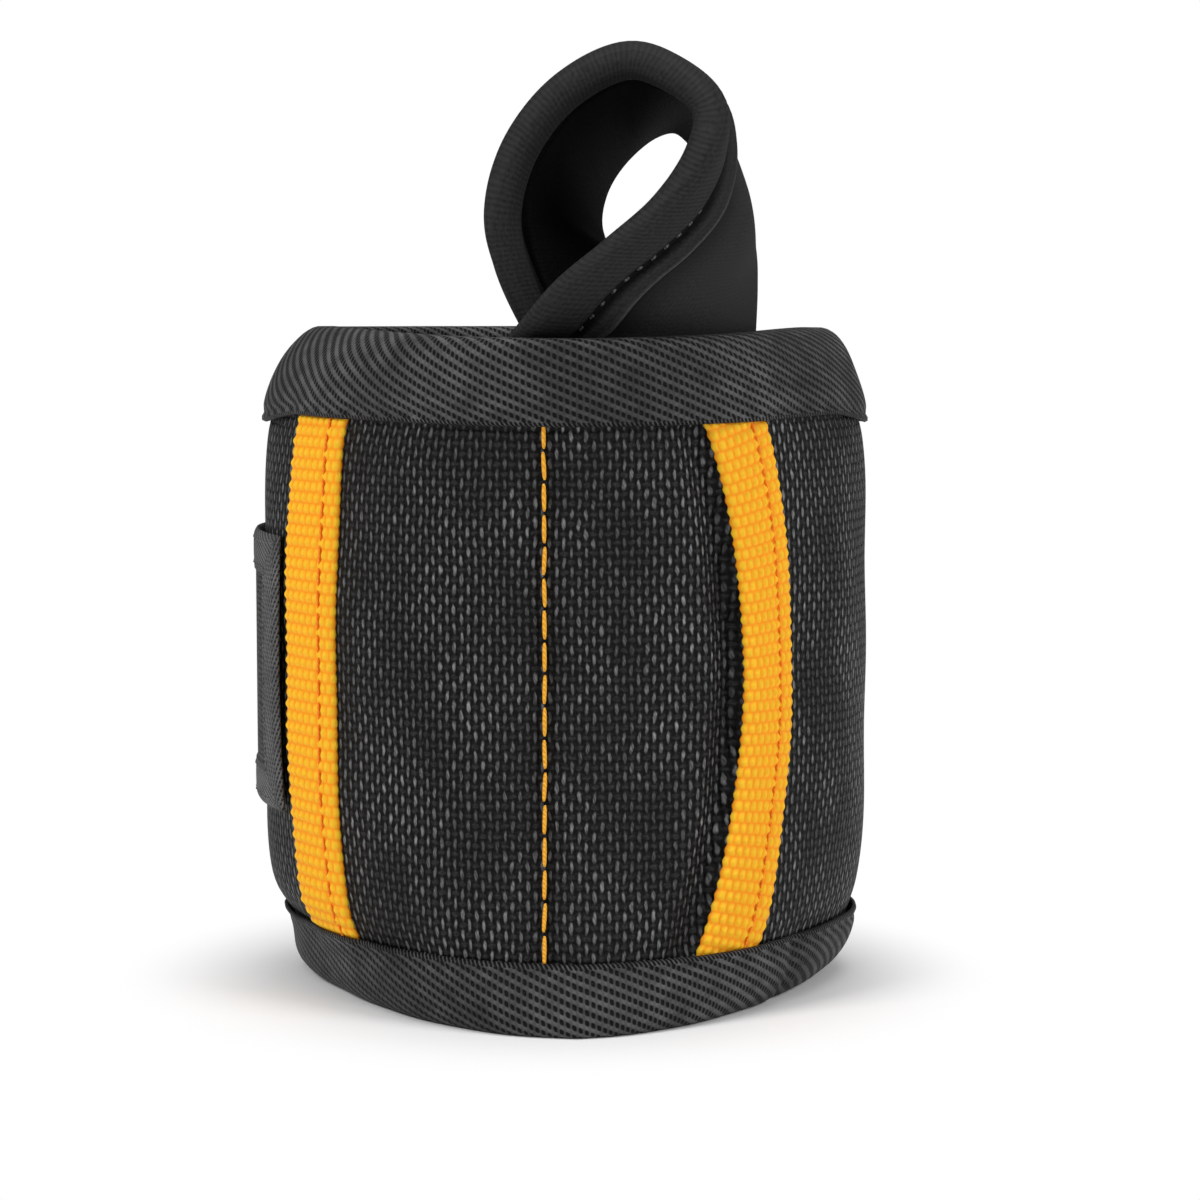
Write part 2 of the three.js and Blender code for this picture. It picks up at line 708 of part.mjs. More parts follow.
// Bend lines, kept with the model: a point on each and the direction that it runs.
function outermost(edge, low, high, offset, axis, sign) {
  const places = spread(low, high, 18).map((z) => bandPoint(edge(z, offset), z, offset)[axis] * sign);
  return sign * (Math.max(...places) + flexOutset);
}

const leftFlexX = outermost(leftPlane(flexPlane), clothLow, clothHigh, 0, "x", -1);
const rightFlexX = outermost(rightPlane(flexPlane), clothLow, clothHigh, 0, "x", 1);
const strapFlexY = outermost(backPlaneFromLeft(strapFlexAcross), strapLow, strapHigh, strapOut, "y", 1);
const tipFlexX = outermost(leftPlane(tipFlexPlane), strapLow, strapHigh, strapOut, "x", -1);

// The origin is under the middle of the whole object, on the surface that it stands on.
const bounds = new THREE.Box3().setFromObject(group);
const middle = bounds.getCenter(new THREE.Vector3());
group.position.set(-middle.x, -middle.y, -bounds.min.z);

const shifted = (x, y, z) => new THREE.Vector3(x, y, z).add(group.position).toArray();
const loopFlex = shifted(loopMiddle.x, loopMiddle.y, bandHeight + loopFlexRise);
group.userData.bendLines = {
  leftWing: { at: shifted(leftFlexX, flexPlane, bandHeight / 2), along: [0, 0, 1] },
  rightWing: { at: shifted(rightFlexX, flexPlane, bandHeight / 2), along: [0, 0, 1] },
  strap: { at: shifted(strapFlexAcross, strapFlexY, strapMiddle), along: [0, 0, 1] },
  strapTip: { at: shifted(tipFlexX, tipFlexPlane, strapMiddle), along: [0, 0, 1] },
  thumbLoop: { at: loopFlex, along: loopAlong.toArray() },
};

export default group;
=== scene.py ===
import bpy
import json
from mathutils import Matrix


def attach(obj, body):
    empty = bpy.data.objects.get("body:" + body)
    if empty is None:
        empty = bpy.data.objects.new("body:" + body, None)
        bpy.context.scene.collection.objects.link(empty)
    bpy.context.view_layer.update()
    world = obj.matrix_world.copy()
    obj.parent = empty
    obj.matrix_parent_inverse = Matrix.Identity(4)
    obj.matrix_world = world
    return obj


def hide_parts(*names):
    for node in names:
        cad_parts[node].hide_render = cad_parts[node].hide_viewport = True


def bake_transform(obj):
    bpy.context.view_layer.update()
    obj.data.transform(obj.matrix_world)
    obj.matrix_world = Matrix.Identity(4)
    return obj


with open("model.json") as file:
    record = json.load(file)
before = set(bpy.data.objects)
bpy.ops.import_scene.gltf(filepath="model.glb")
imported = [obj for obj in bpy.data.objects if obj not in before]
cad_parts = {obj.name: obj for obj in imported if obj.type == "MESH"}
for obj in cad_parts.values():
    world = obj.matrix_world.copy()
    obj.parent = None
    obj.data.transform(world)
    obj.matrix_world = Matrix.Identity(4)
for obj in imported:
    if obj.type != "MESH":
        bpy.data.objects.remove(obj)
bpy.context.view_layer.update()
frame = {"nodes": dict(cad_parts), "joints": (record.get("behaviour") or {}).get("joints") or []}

import json
import math

import bpy
import numpy as np

mm = 0.001
scene = bpy.context.scene
jointPos = {joint["name"]: np.array(joint["pos_m"]) for joint in frame["joints"]}

# the rolled band: same section as the solids, arc lengths run from the nose, + to the right
band = {
    "height": 90 * mm,
    "halfWidth": 41.7 * mm,
    "rimNarrowing": 6 * mm,
    "rimCurve": 6,
    "frontDepth": 37.5 * mm,
    "frontReach": 9 * mm,
    "backDepth": 30 * mm,
    "backReach": 3 * mm,
    "frontPointing": 0.62,
    "backPointing": 0.4,
    "noseShift": 0.7 * mm,
    "backDrop": 1.7 * mm,
    "dropAngles": (0.3 * math.pi, math.pi),
    "rightDrop": 0.8,
    "rightDropRamp": (0, 0.6),
    "leftTuckRamp": (0.4, 1),
    "leftTucks": [(2 * mm, 6.2 * mm, 4.2 * mm), (1.4 * mm, 90 * mm, 3.6 * mm)],
    "flexPlane": -9 * mm,
    "strapPlane": 12 * mm,
    "leftEnd": 2 * mm,
    "rightEnd": 12.2 * mm,
    "seamArc": -3.05 * mm,
    "ridgeArc": 1 * mm,
    "topTape": 11.4 * mm,
    "bottomTape": 9.1 * mm,
    "topHem": 8 * mm,
    "bottomHem": 6.5 * mm,
    "leftWebbing": -39.6 * mm,
    "rightWebbing": 28.4 * mm,
    "webbingWidth": 11.5 * mm,
    "rightBow": -7.6 * mm,
    "leftBow": -0.5 * mm,
    "rightNarrowing": 1.7 * mm,
}
shiftX = jointPos["strap_peel"][0] - band["strapPlane"]
shiftY = jointPos["left_wing_flex"][1] - band["flexPlane"]
topSeam = band["height"] - band["topTape"]
bottomSeam = band["bottomTape"]


def smoothStep(value, low, high):
    t = np.clip((value - low) / (high - low), 0, 1)
    return t * t * (3 - 2 * t)


def levelOf(z):
    # -1 at the lower edge, 1 at the upper one
    return 2 * z / band["height"] - 1


def halfWidthAt(z):
    return band["halfWidth"] - band["rimNarrowing"] * levelOf(z) ** band["rimCurve"]


def crossSection(angle, z):
    level = levelOf(z)
    half = halfWidthAt(z)
    c, s = np.cos(angle), np.sin(angle)
    front = c >= 0
    frontDepth = band["frontDepth"] + band["frontReach"] * level ** 2
    backDepth = band["backDepth"] + band["backReach"] * level ** 2
    depth = np.where(front, -frontDepth, backDepth)
    point = np.where(front, band["frontPointing"], band["backPointing"]) * level ** 2
    nose = np.where(front, band["noseShift"], 0)
    reach = np.abs(c)
    x = half * s + nose * c * c
    y = depth * reach * (1 - point + point * reach)
    dx = half * c - 2 * nose * c * s
    dy = depth * np.where(front, -s, s) * (1 - point + 2 * point * reach)
    return x, y, dx, dy


arcAngles = np.linspace(-1.5 * math.pi, 1.5 * math.pi, 1921)
arcTables = {}


def arcTable(z):
    key = round(z * 1e7)
    if key not in arcTables:
        x, y, _, _ = crossSection(arcAngles, z)
        lengths = np.concatenate([[0], np.cumsum(np.hypot(np.diff(x), np.diff(y)))])
        arcTables[key] = lengths - lengths[len(lengths) // 2]
    return arcTables[key]


def bandRow(arcs, z, offset=0.0):
    # points at one height, moved out along the section's normal
    angle = np.interp(arcs, arcTable(z), arcAngles)
    x, y, dx, dy = crossSection(angle, z)
    speed = np.hypot(dx, dy)
    px = x + offset * dy / speed + shiftX
    py = y - offset * dx / speed + shiftY
    # the upper edge drops a little towards the back
    drop = band["backDrop"] * smoothStep(np.abs(angle), *band["dropAngles"]) * (z / band["height"]) ** 3
    drop = drop * (1 + band["rightDrop"] * smoothStep(np.sin(angle), *band["rightDropRamp"]))
    # the left side is pulled in at its two corners
    tuck = sum(size * bump(z, at, width) for size, at, width in band["leftTucks"])
    px = px + tuck * smoothStep(-np.sin(angle), *band["leftTuckRamp"])
    return np.stack([px, py, z - drop], axis=-1)


def bandPoints(arcs, heights, offsets):
    # the same for points at any heights
    arcs, heights, offsets = np.broadcast_arrays(arcs, heights, offsets)
    points = np.empty(arcs.shape + (3,))
    for z in np.unique(heights):
        at = heights == z
        points[at] = bandRow(arcs[at], z, offsets[at])
    return points


def backArc(z, x, side):
    # arc where the back of the band crosses the plane x, reached round the left (-1) or the right (+1)
    angle = side * (math.pi - side * math.asin(x / halfWidthAt(z)))
    return np.interp(angle, arcAngles, arcTable(z))


def bump(value, centre, width):
    return np.exp(-((value - centre) / width) ** 2)


def splinePath(controls, count):
    # centripetal curve through the controls, sampled at equal lengths
    p = np.array(controls, float)
    p = np.vstack([2 * p[0] - p[1], p, 2 * p[-1] - p[-2]])
    pieces = []
    t = np.linspace(0, 1, 24, endpoint=False)[:, None]
    for a, b, c, d in zip(p[:-3], p[1:-2], p[2:-1], p[3:]):
        k0, k1, k2 = [math.sqrt(np.linalg.norm(e)) for e in (b - a, c - b, d - c)]
        m1 = k1 * ((b - a) / k0 - (c - a) / (k0 + k1) + (c - b) / k1)
        m2 = k1 * ((c - b) / k1 - (d - b) / (k1 + k2) + (d - c) / k2)
        pieces.append(b + m1 * t + (3 * (c - b) - 2 * m1 - m2) * t ** 2 + (2 * (b - c) + m1 + m2) * t ** 3)
    dense = np.vstack(pieces + [p[-2:-1]])
    run = np.concatenate([[0], np.cumsum(np.linalg.norm(np.diff(dense, axis=0), axis=1))])
    places = np.linspace(0, run[-1], count)
    return np.stack([np.interp(places, run, dense[:, i]) for i in range(p.shape[1])], axis=-1)


def runLength(points):
    steps = np.linalg.norm(np.diff(points, axis=0), axis=-1)
    return np.concatenate([[0], np.cumsum(steps)])


def liningOf(outline, thickness, turn):
    # a second line beside a folded outline, to its left (1) or its right (-1)
    direction = np.gradient(outline, axis=0)
    direction /= np.linalg.norm(direction, axis=1)[:, None]
    return outline + np.stack([-direction[:, 1], direction[:, 0]], axis=-1) * (turn * thickness)


def gridFaces(index):
    corners = [index[:-1, :-1], index[:-1, 1:], index[1:, 1:], index[1:, :-1]]
    return np.stack(corners, axis=-1).reshape(-1, 4)


def addObject(name, data):
    made = bpy.data.objects.new(name, data)
    scene.collection.objects.link(made)
    return made


def addPiece(name, points, faces, uv, material):
    mesh = bpy.data.meshes.new(name)
    mesh.from_pydata(points.tolist(), [], faces.tolist())
    mesh.polygons.foreach_set("use_smooth", np.ones(len(faces), bool))
    corners = np.empty(len(mesh.loops), np.int32)
    mesh.loops.foreach_get("vertex_index", corners)
    layer = mesh.uv_layers.new(name="UVMap")
    layer.data.foreach_set("uv", uv[corners].astype(np.float32).ravel())
    mesh.materials.append(material)
    mesh.update()
    return addObject(name, mesh)


def closedSheet(name, outer, inner, uv, material):
    # two grids of points and the rim between them, uv in metres
    rows, columns = outer.shape[:2]
    top = np.arange(rows * columns).reshape(rows, columns)
    under = top + rows * columns
    rim = np.concatenate([top[0], top[1:, -1], top[-1, -2::-1], top[-2::-1, 0]])
    rimUnder = rim + rows * columns
    sides = np.stack([rim[1:], rim[:-1], rimUnder[:-1], rimUnder[1:]], axis=-1)
    faces = np.concatenate([gridFaces(top), gridFaces(under)[:, ::-1], sides])
    points = np.concatenate([outer.reshape(-1, 3), inner.reshape(-1, 3)])
    a, b, c, d = [points[faces[:, i]] for i in range(4)]
    volume = np.einsum("ij,ij->", a, np.cross(b, c)) + np.einsum("ij,ij->", a, np.cross(c, d))
    if volume < 0:
        faces = faces[:, ::-1]
    uv = uv.reshape(-1, 2)
    return addPiece(name, points, faces, np.concatenate([uv, uv]), material)


# materials: patterns run on uv maps in metres, read here as millimetres
webbingWeave = {"column": 1.44, "row": 1.49}


def grey(value):
    return (value, value, 1.03 * value, 1)


def put(tree, socket, value):
    if isinstance(value, bpy.types.NodeSocket):
        tree.links.new(value, socket)
    else:
        socket.default_value = value


def calc(tree, operation, a, b=0.0):
    node = tree.nodes.new("ShaderNodeMath")
    node.operation = operation
    put(tree, node.inputs[0], a)
    put(tree, node.inputs[1], b)
    return node.outputs[0]


def times(tree, a, b):
    return calc(tree, "MULTIPLY", a, b)


def plus(tree, a, b):
    return calc(tree, "ADD", a, b)


def minus(tree, a, b):
    return calc(tree, "SUBTRACT", a, b)


def mixOf(tree, factor, a, b, kind="RGBA"):
    node = tree.nodes.new("ShaderNodeMix")
    node.data_type = kind
    put(tree, node.inputs["Factor"], factor)
    put(tree, node.inputs["A"], a)
    put(tree, node.inputs["B"], b)
    return node.outputs["Result"]


def spread(tree, value, low, high, newLow=0.0, newHigh=1.0):
    node = tree.nodes.new("ShaderNodeMapRange")
    node.interpolation_type = "SMOOTHSTEP"
    put(tree, node.inputs["Value"], value)
    put(tree, node.inputs["From Min"], low)
    put(tree, node.inputs["From Max"], high)
    put(tree, node.inputs["To Min"], newLow)
    put(tree, node.inputs["To Max"], newHigh)
    return node.outputs["Result"]


def noise(tree, u, v, scaleU, scaleV, detail=2.0):
    vector = tree.nodes.new("ShaderNodeCombineXYZ")
    put(tree, vector.inputs[0], times(tree, u, scaleU))
    put(tree, vector.inputs[1], times(tree, v, scaleV))
    node = tree.nodes.new("ShaderNodeTexNoise")
    node.inputs["Scale"].default_value = 1
    node.inputs["Detail"].default_value = detail
    tree.links.new(vector.outputs[0], node.inputs["Vector"])
    return node.outputs[0]


def wander(tree, u, v, scaleU, scaleV, size):
    return times(tree, minus(tree, noise(tree, u, v, scaleU, scaleV), 0.5), size)


def ripple(tree, value, pitch):
    # smooth wave from 0 to 1
    turn = times(tree, value, 2 * math.pi / pitch)
    return spread(tree, calc(tree, "COSINE", turn), -1, 1)


def plainMaterial(name):
    material = bpy.data.materials.new(name)
    material.use_nodes = True
    tree = material.node_tree
    tree.nodes.clear()
    output = tree.nodes.new("ShaderNodeOutputMaterial")
    shader = tree.nodes.new("ShaderNodeBsdfPrincipled")
    tree.links.new(shader.outputs["BSDF"], output.inputs["Surface"])
    return material, tree, shader


def startMaterial(name):
    material, tree, shader = plainMaterial(name)
    source = tree.nodes.new("ShaderNodeUVMap")
    source.uv_map = "UVMap"
    split = tree.nodes.new("ShaderNodeSeparateXYZ")
    tree.links.new(source.outputs["UV"], split.inputs[0])
    u = times(tree, split.outputs[0], 1000)
    v = times(tree, split.outputs[1], 1000)
    return material, tree, shader, u, v


def objectGrain(tree, scale):
    # for pieces without a uv map
    place = tree.nodes.new("ShaderNodeTexCoord")
    grain = tree.nodes.new("ShaderNodeTexNoise")
    grain.inputs["Scale"].default_value = scale
    tree.links.new(place.outputs["Object"], grain.inputs["Vector"])
    return grain.outputs[0]


def finishMaterial(tree, shader, colour, roughness, height, depth, specular=0.5):
    put(tree, shader.inputs["Base Color"], colour)
    put(tree, shader.inputs["Roughness"], roughness)
    put(tree, shader.inputs["Specular IOR Level"], specular)
    relief = tree.nodes.new("ShaderNodeBump")
    relief.inputs["Distance"].default_value = depth
    relief.inputs["Strength"].default_value = 1
    put(tree, relief.inputs["Height"], height)
    tree.links.new(relief.outputs["Normal"], shader.inputs["Normal"])


def yarnProfile(tree, part):
    # half round across a yarn, part runs 0..1
    side = minus(tree, times(tree, part, 2), 1)
    square = minus(tree, 1, times(tree, side, side))
    return calc(tree, "SQRT", calc(tree, "MAXIMUM", square, 0))


def yarnCrownHighlight(tree, roundness, rise):
    # painted highlight: a long narrow light streak painted on the top of a yarn where it floats over the
    # crossing ones
    middle = times(tree, times(tree, roundness, roundness), 0.9)
    streak = spread(tree, plus(tree, middle, times(tree, rise, 0.15)), 0.72, 1)
    return times(tree, streak, spread(tree, rise, -1, 0.8, 0.25, 1))


def plainWeave(tree, u, v, pitchU, pitchV, lift):
    # height of the cloth, and how far each place is on the crown of an upright or a cross yarn, the masks
    # for the painted highlights
    across = calc(tree, "DIVIDE", u, pitchU)
    up = calc(tree, "DIVIDE", v, pitchV)
    column = calc(tree, "FLOOR", across)
    row = calc(tree, "FLOOR", up)
    warpTurn = times(tree, plus(tree, minus(tree, up, 0.5), column), math.pi)
    weftTurn = times(tree, plus(tree, minus(tree, across, 0.5), row), math.pi)
    warpRise = calc(tree, "COSINE", warpTurn)
    weftRise = times(tree, calc(tree, "COSINE", weftTurn), -1)
    warpRound = yarnProfile(tree, calc(tree, "FRACT", across))
    weftRound = yarnProfile(tree, calc(tree, "FRACT", up))
    warp = plus(tree, times(tree, warpRise, lift), warpRound)
    weft = plus(tree, times(tree, weftRise, lift), weftRound)
    warp = plus(tree, warp, 0.25)
    height = calc(tree, "MAXIMUM", warp, weft)
    return height, yarnCrownHighlight(tree, warpRound, warpRise), yarnCrownHighlight(tree, weftRound, weftRise)


def nylonMaterial(name, pitchU, pitchV, warpHighlightColour, weftColour, gapShadeColour):
    material, tree, shader, u, v = startMaterial(name)
    # yarns wander a little, and every float is a bit different
    widely = wander(tree, u, v, 0.12, 0.12, 0.7)
    weaveU = plus(tree, plus(tree, u, widely), wander(tree, u, v, 0.9, 0.7, 0.55))
    weaveV = plus(tree, plus(tree, v, widely), wander(tree, v, u, 0.7, 1.1, 0.7))
    height, warp, weft = plainWeave(tree, weaveU, weaveV, pitchU, pitchV, 0.75)
    fibres = noise(tree, plus(tree, u, times(tree, v, 0.3)), v, 4.5, 0.9)
    patchy = spread(tree, noise(tree, u, v, 0.1, 0.06), 0.33, 0.67, 0.3, 1)
    patchy = times(tree, patchy, spread(tree, noise(tree, u, v, 0.8, 0.5), 0.3, 0.7, 0.6, 1))
    uneven = spread(tree, noise(tree, u, v, 2.2, 3), 0.35, 0.65, 0.35, 1)
    # painted shade: the gaps between the yarns are painted dark, the cross yarns' crowns a little lighter
    colour = mixOf(tree, times(tree, weft, uneven), gapShadeColour, weftColour)
    strands = spread(tree, fibres, 0.35, 0.65, 0.4, 1)
    warp = times(tree, times(tree, warp, patchy), strands)
    # painted highlight: the crown of each upright yarn is painted light
    colour = mixOf(tree, warp, colour, warpHighlightColour)
    relief = plus(tree, times(tree, height, 0.5), times(tree, fibres, 0.18))
    finishMaterial(tree, shader, colour, spread(tree, fibres, 0.3, 0.7, 0.45, 0.62), relief, 0.36 * mm, 0.12)
    return material


def twillMaterial(name, column, row, slope, barColour, gapShadeColour):
    # light diagonal bars with pits between them painted dark as shade, and a row of short slanted threads
    # along the edge
    material, tree, shader, u, v = startMaterial(name)
    bars = ripple(tree, plus(tree, v, times(tree, u, slope)), row)
    ties = ripple(tree, u, column)
    pits = times(tree, bars, plus(tree, times(tree, ties, 0.72), 0.28))
    edge = spread(tree, calc(tree, "ABSOLUTE", v), 0.75, 1.05, 1, 0)
    threads = ripple(tree, plus(tree, u, times(tree, v, 0.5)), 0.6)
    gaps = mixOf(tree, edge, pits, threads, "FLOAT")
    fibres = noise(tree, u, v, 5, 5)
    patchy = spread(tree, noise(tree, u, v, 0.3, 0.5), 0.3, 0.7, 0.6, 1)
    wide = spread(tree, noise(tree, u, v, 0.06, 0.03), 0.35, 0.65, 0.6, 1.1)
    patchy = times(tree, patchy, wide)
    light = times(tree, spread(tree, gaps, 0.06, 0.6, 1, 0), patchy)
    light = times(tree, light, spread(tree, ties, 0, 1, 0.75, 1))
    # painted shade: the pits between the bars are painted dark
    colour = mixOf(tree, light, gapShadeColour, barColour)
    relief = minus(tree, times(tree, fibres, 0.25), gaps)
    finishMaterial(tree, shader, colour, spread(tree, fibres, 0.3, 0.7, 0.48, 0.66), relief, 0.22 * mm, 0.15)
    return material


def webbingMaterial(name, colour, creviceShadeColour):
    # pillows painted lighter on their tops and darker in the lines between them, a painted highlight and
    # painted shade; every other row is shifted by half a pillow
    material, tree, shader, u, v = startMaterial(name)
    turns = calc(tree, "DIVIDE", v, webbingWeave["row"])
    shift = times(tree, calc(tree, "MODULO", calc(tree, "FLOOR", turns), 2), 0.5)
    x = calc(tree, "FRACT", plus(tree, calc(tree, "DIVIDE", u, webbingWeave["column"]), shift))
    y = calc(tree, "FRACT", turns)
    pillow = times(tree, yarnProfile(tree, x), yarnProfile(tree, y))
    pillow = times(tree, pillow, pillow)
    fibres = noise(tree, u, v, 7, 2.2)
    shade = plus(tree, pillow, times(tree, minus(tree, fibres, 0.5), 0.4))
    # painted shade between the pillows and painted highlight on their tops, set by the pillow's height
    mixed = mixOf(tree, spread(tree, shade, -0.4, 1), creviceShadeColour, colour)
    finishMaterial(tree, shader, mixed, spread(tree, fibres, 0.3, 0.7, 0.5, 0.65), fibres, 0.12 * mm, 0.2)
    return material


def threadMaterial(name, colour, darkColour):
    material, tree, shader = plainMaterial(name)
    place = tree.nodes.new("ShaderNodeTexCoord")
    wave = tree.nodes.new("ShaderNodeTexWave")
    wave.bands_direction = "DIAGONAL"
    wave.inputs["Scale"].default_value = 900
    wave.inputs["Distortion"].default_value = 0.6
    tree.links.new(place.outputs["Object"], wave.inputs["Vector"])
    mixed = mixOf(tree, wave.outputs["Fac"], darkColour, colour)
    finishMaterial(tree, shader, mixed, 0.55, wave.outputs["Fac"], 0.06 * mm, 0.4)
    return material


# lines on the thumb loop, in millimetres from its near edge
hemLines = {"stitch": 6.5, "lip": 9.7, "shadeTo": 16}


def lineAt(tree, value, place, width):
    away = calc(tree, "ABSOLUTE", minus(tree, value, place))
    return spread(tree, away, 0, width, 1, 0)


def neopreneMaterial(name, colour, darkColour, specular, lipHighlightColour=None):
    material, tree, shader, u, v = startMaterial(name)
    ribs = calc(tree, "SINE", times(tree, u, 2 * math.pi / 0.55))
    loops = calc(tree, "SINE", times(tree, v, 2 * math.pi / 0.7))
    hem = spread(tree, v, 5, 7, 0.08, 0.03)
    knit = plus(tree, times(tree, ribs, hem), times(tree, loops, 0.03))
    knit = plus(tree, knit, 0.5)
    fuzz = noise(tree, u, v, 2.6, 3.5, 4)
    colour = mixOf(tree, spread(tree, plus(tree, knit, fuzz), 0.75, 1.25), darkColour, colour)
    if lipHighlightColour:
        # painted highlight: the lip's edge is painted light; painted shade: the fold past it and the
        # stitched line are painted dark
        past = spread(tree, v, hemLines["lip"] + 0.1, hemLines["lip"] + 0.4)
        shade = times(tree, past, spread(tree, v, hemLines["lip"], hemLines["shadeTo"], 0.75, 0))
        shade = calc(tree, "MAXIMUM", shade, lineAt(tree, v, hemLines["stitch"], 1.1))
        colour = mixOf(tree, times(tree, shade, 0.85), colour, grey(0.002))
        lipHighlight = times(tree, lineAt(tree, v, hemLines["lip"] - 0.4, 0.6), fuzz)
        colour = mixOf(tree, lipHighlight, colour, lipHighlightColour)
    relief = plus(tree, knit, times(tree, fuzz, 0.8))
    finishMaterial(tree, shader, colour, spread(tree, fuzz, 0.3, 0.7, 0.6, 0.8), relief, 0.05 * mm, specular)
    return material


def meshMaterial(name, cell, colour, holeColour):
    material, tree, shader, u, v = startMaterial(name)
    across = times(tree, u, 2 * math.pi / cell)
    up = times(tree, v, 2 * math.pi / (cell * 1.73))
    first = times(tree, calc(tree, "COSINE", across), calc(tree, "COSINE", up))
    fibres = noise(tree, u, v, 6, 6)
    hole = spread(tree, first, 0.15, 0.6)
    mixed = mixOf(tree, hole, colour, holeColour)
    height = plus(tree, minus(tree, 1, hole), times(tree, fibres, 0.3))
    finishMaterial(tree, shader, mixed, spread(tree, fibres, 0.3, 0.7, 0.7, 0.85), height, 0.5 * mm, 0.3)
    return material


def pileMaterial(name, grain, colour, darkColour):
    material, tree, shader, u, v = startMaterial(name)
    tufts = noise(tree, u, v, grain, grain, 3)
    mixed = mixOf(tree, spread(tree, tufts, 0.35, 0.65), darkColour, colour)
    finishMaterial(tree, shader, mixed, 0.9, tufts, 0.5 * mm, 0.2)
    shader.inputs["Sheen Weight"].default_value = 0.2
    return material


def metalMaterial(name, colour):
    material, tree, shader = plainMaterial(name)
    grain = objectGrain(tree, 900)
    dull = tuple(0.8 * c for c in colour[:3]) + (1,)
    mixed = mixOf(tree, grain, dull, colour)
    roughness = spread(tree, grain, 0.3, 0.7, 0.25, 0.4)
    finishMaterial(tree, shader, mixed, roughness, grain, 0.02 * mm)
    shader.inputs["Metallic"].default_value = 1
    return material


def feltMaterial(name, colour, darkColour):
    material, tree, shader = plainMaterial(name)
    grain = objectGrain(tree, 1500)
    mixed = mixOf(tree, grain, darkColour, colour)
    finishMaterial(tree, shader, mixed, 0.95, grain, 0.3 * mm, 0.2)
    return material


looks = {
    # nylon looks: the upright yarn colour is a painted highlight, the last colour is painted shade between
    # the yarns
    "nylon": nylonMaterial("nylon", 0.965, 1.28, grey(0.29), grey(0.03), grey(0.003)),
    "strapNylon": nylonMaterial("strap_nylon", 0.8, 0.8, grey(0.16), grey(0.08), grey(0.006)),
    # twill looks: the last colour is painted shade in the pits
    "twill": twillMaterial("twill", 0.77, 1.28, 0.46, grey(0.115), grey(0.002)),
    "strapTwill": twillMaterial("strap_twill", 0.6, 0.7, 0.5, grey(0.19), grey(0.03)),
    # webbing: the second colour is painted shade between the pillows
    "webbing": webbingMaterial("webbing", (1, 0.57, 0.022, 1), (1, 0.27, 0.001, 1)),
    "orangeThread": threadMaterial("orange_thread", (1, 0.52, 0.03, 1), (0.85, 0.32, 0.006, 1)),
    "deepThread": threadMaterial("deep_thread", (1, 0.28, 0.004, 1), (0.9, 0.2, 0.002, 1)),
    "blackThread": threadMaterial("black_thread", grey(0.13), grey(0.03)),
    # neoprene: the last colour is the painted highlight on the lip's edge
    "neoprene": neopreneMaterial("neoprene", grey(0.026), grey(0.01), 0.12, grey(0.075)),
    # a darker copy of the neoprene, painted shade for the inside of the loop
    "loopShadedInside": neopreneMaterial("loop_inside_painted_shade", grey(0.006), grey(0.002), 0.03),
    "spacer": meshMaterial("spacer", 2.2, grey(0.04), grey(0.003)),
    "loopPile": pileMaterial("loop_pile", 2.4, grey(0.035), grey(0.008)),
    "hookPile": pileMaterial("hook_pile", 1.6, grey(0.03), grey(0.005)),
    "magnet": metalMaterial("magnet", (0.6, 0.61, 0.62, 1)),
    "felt": feltMaterial("felt", grey(0.12), grey(0.05)),
}
print("materials made:", len(looks))


# stitches laid along a path, all rows share one node group
stitchDefaults = {"Pitch": 3 * mm, "Stitch Length": 2.4 * mm, "Thread Radius": 0.3 * mm, "Sway": 0.05}


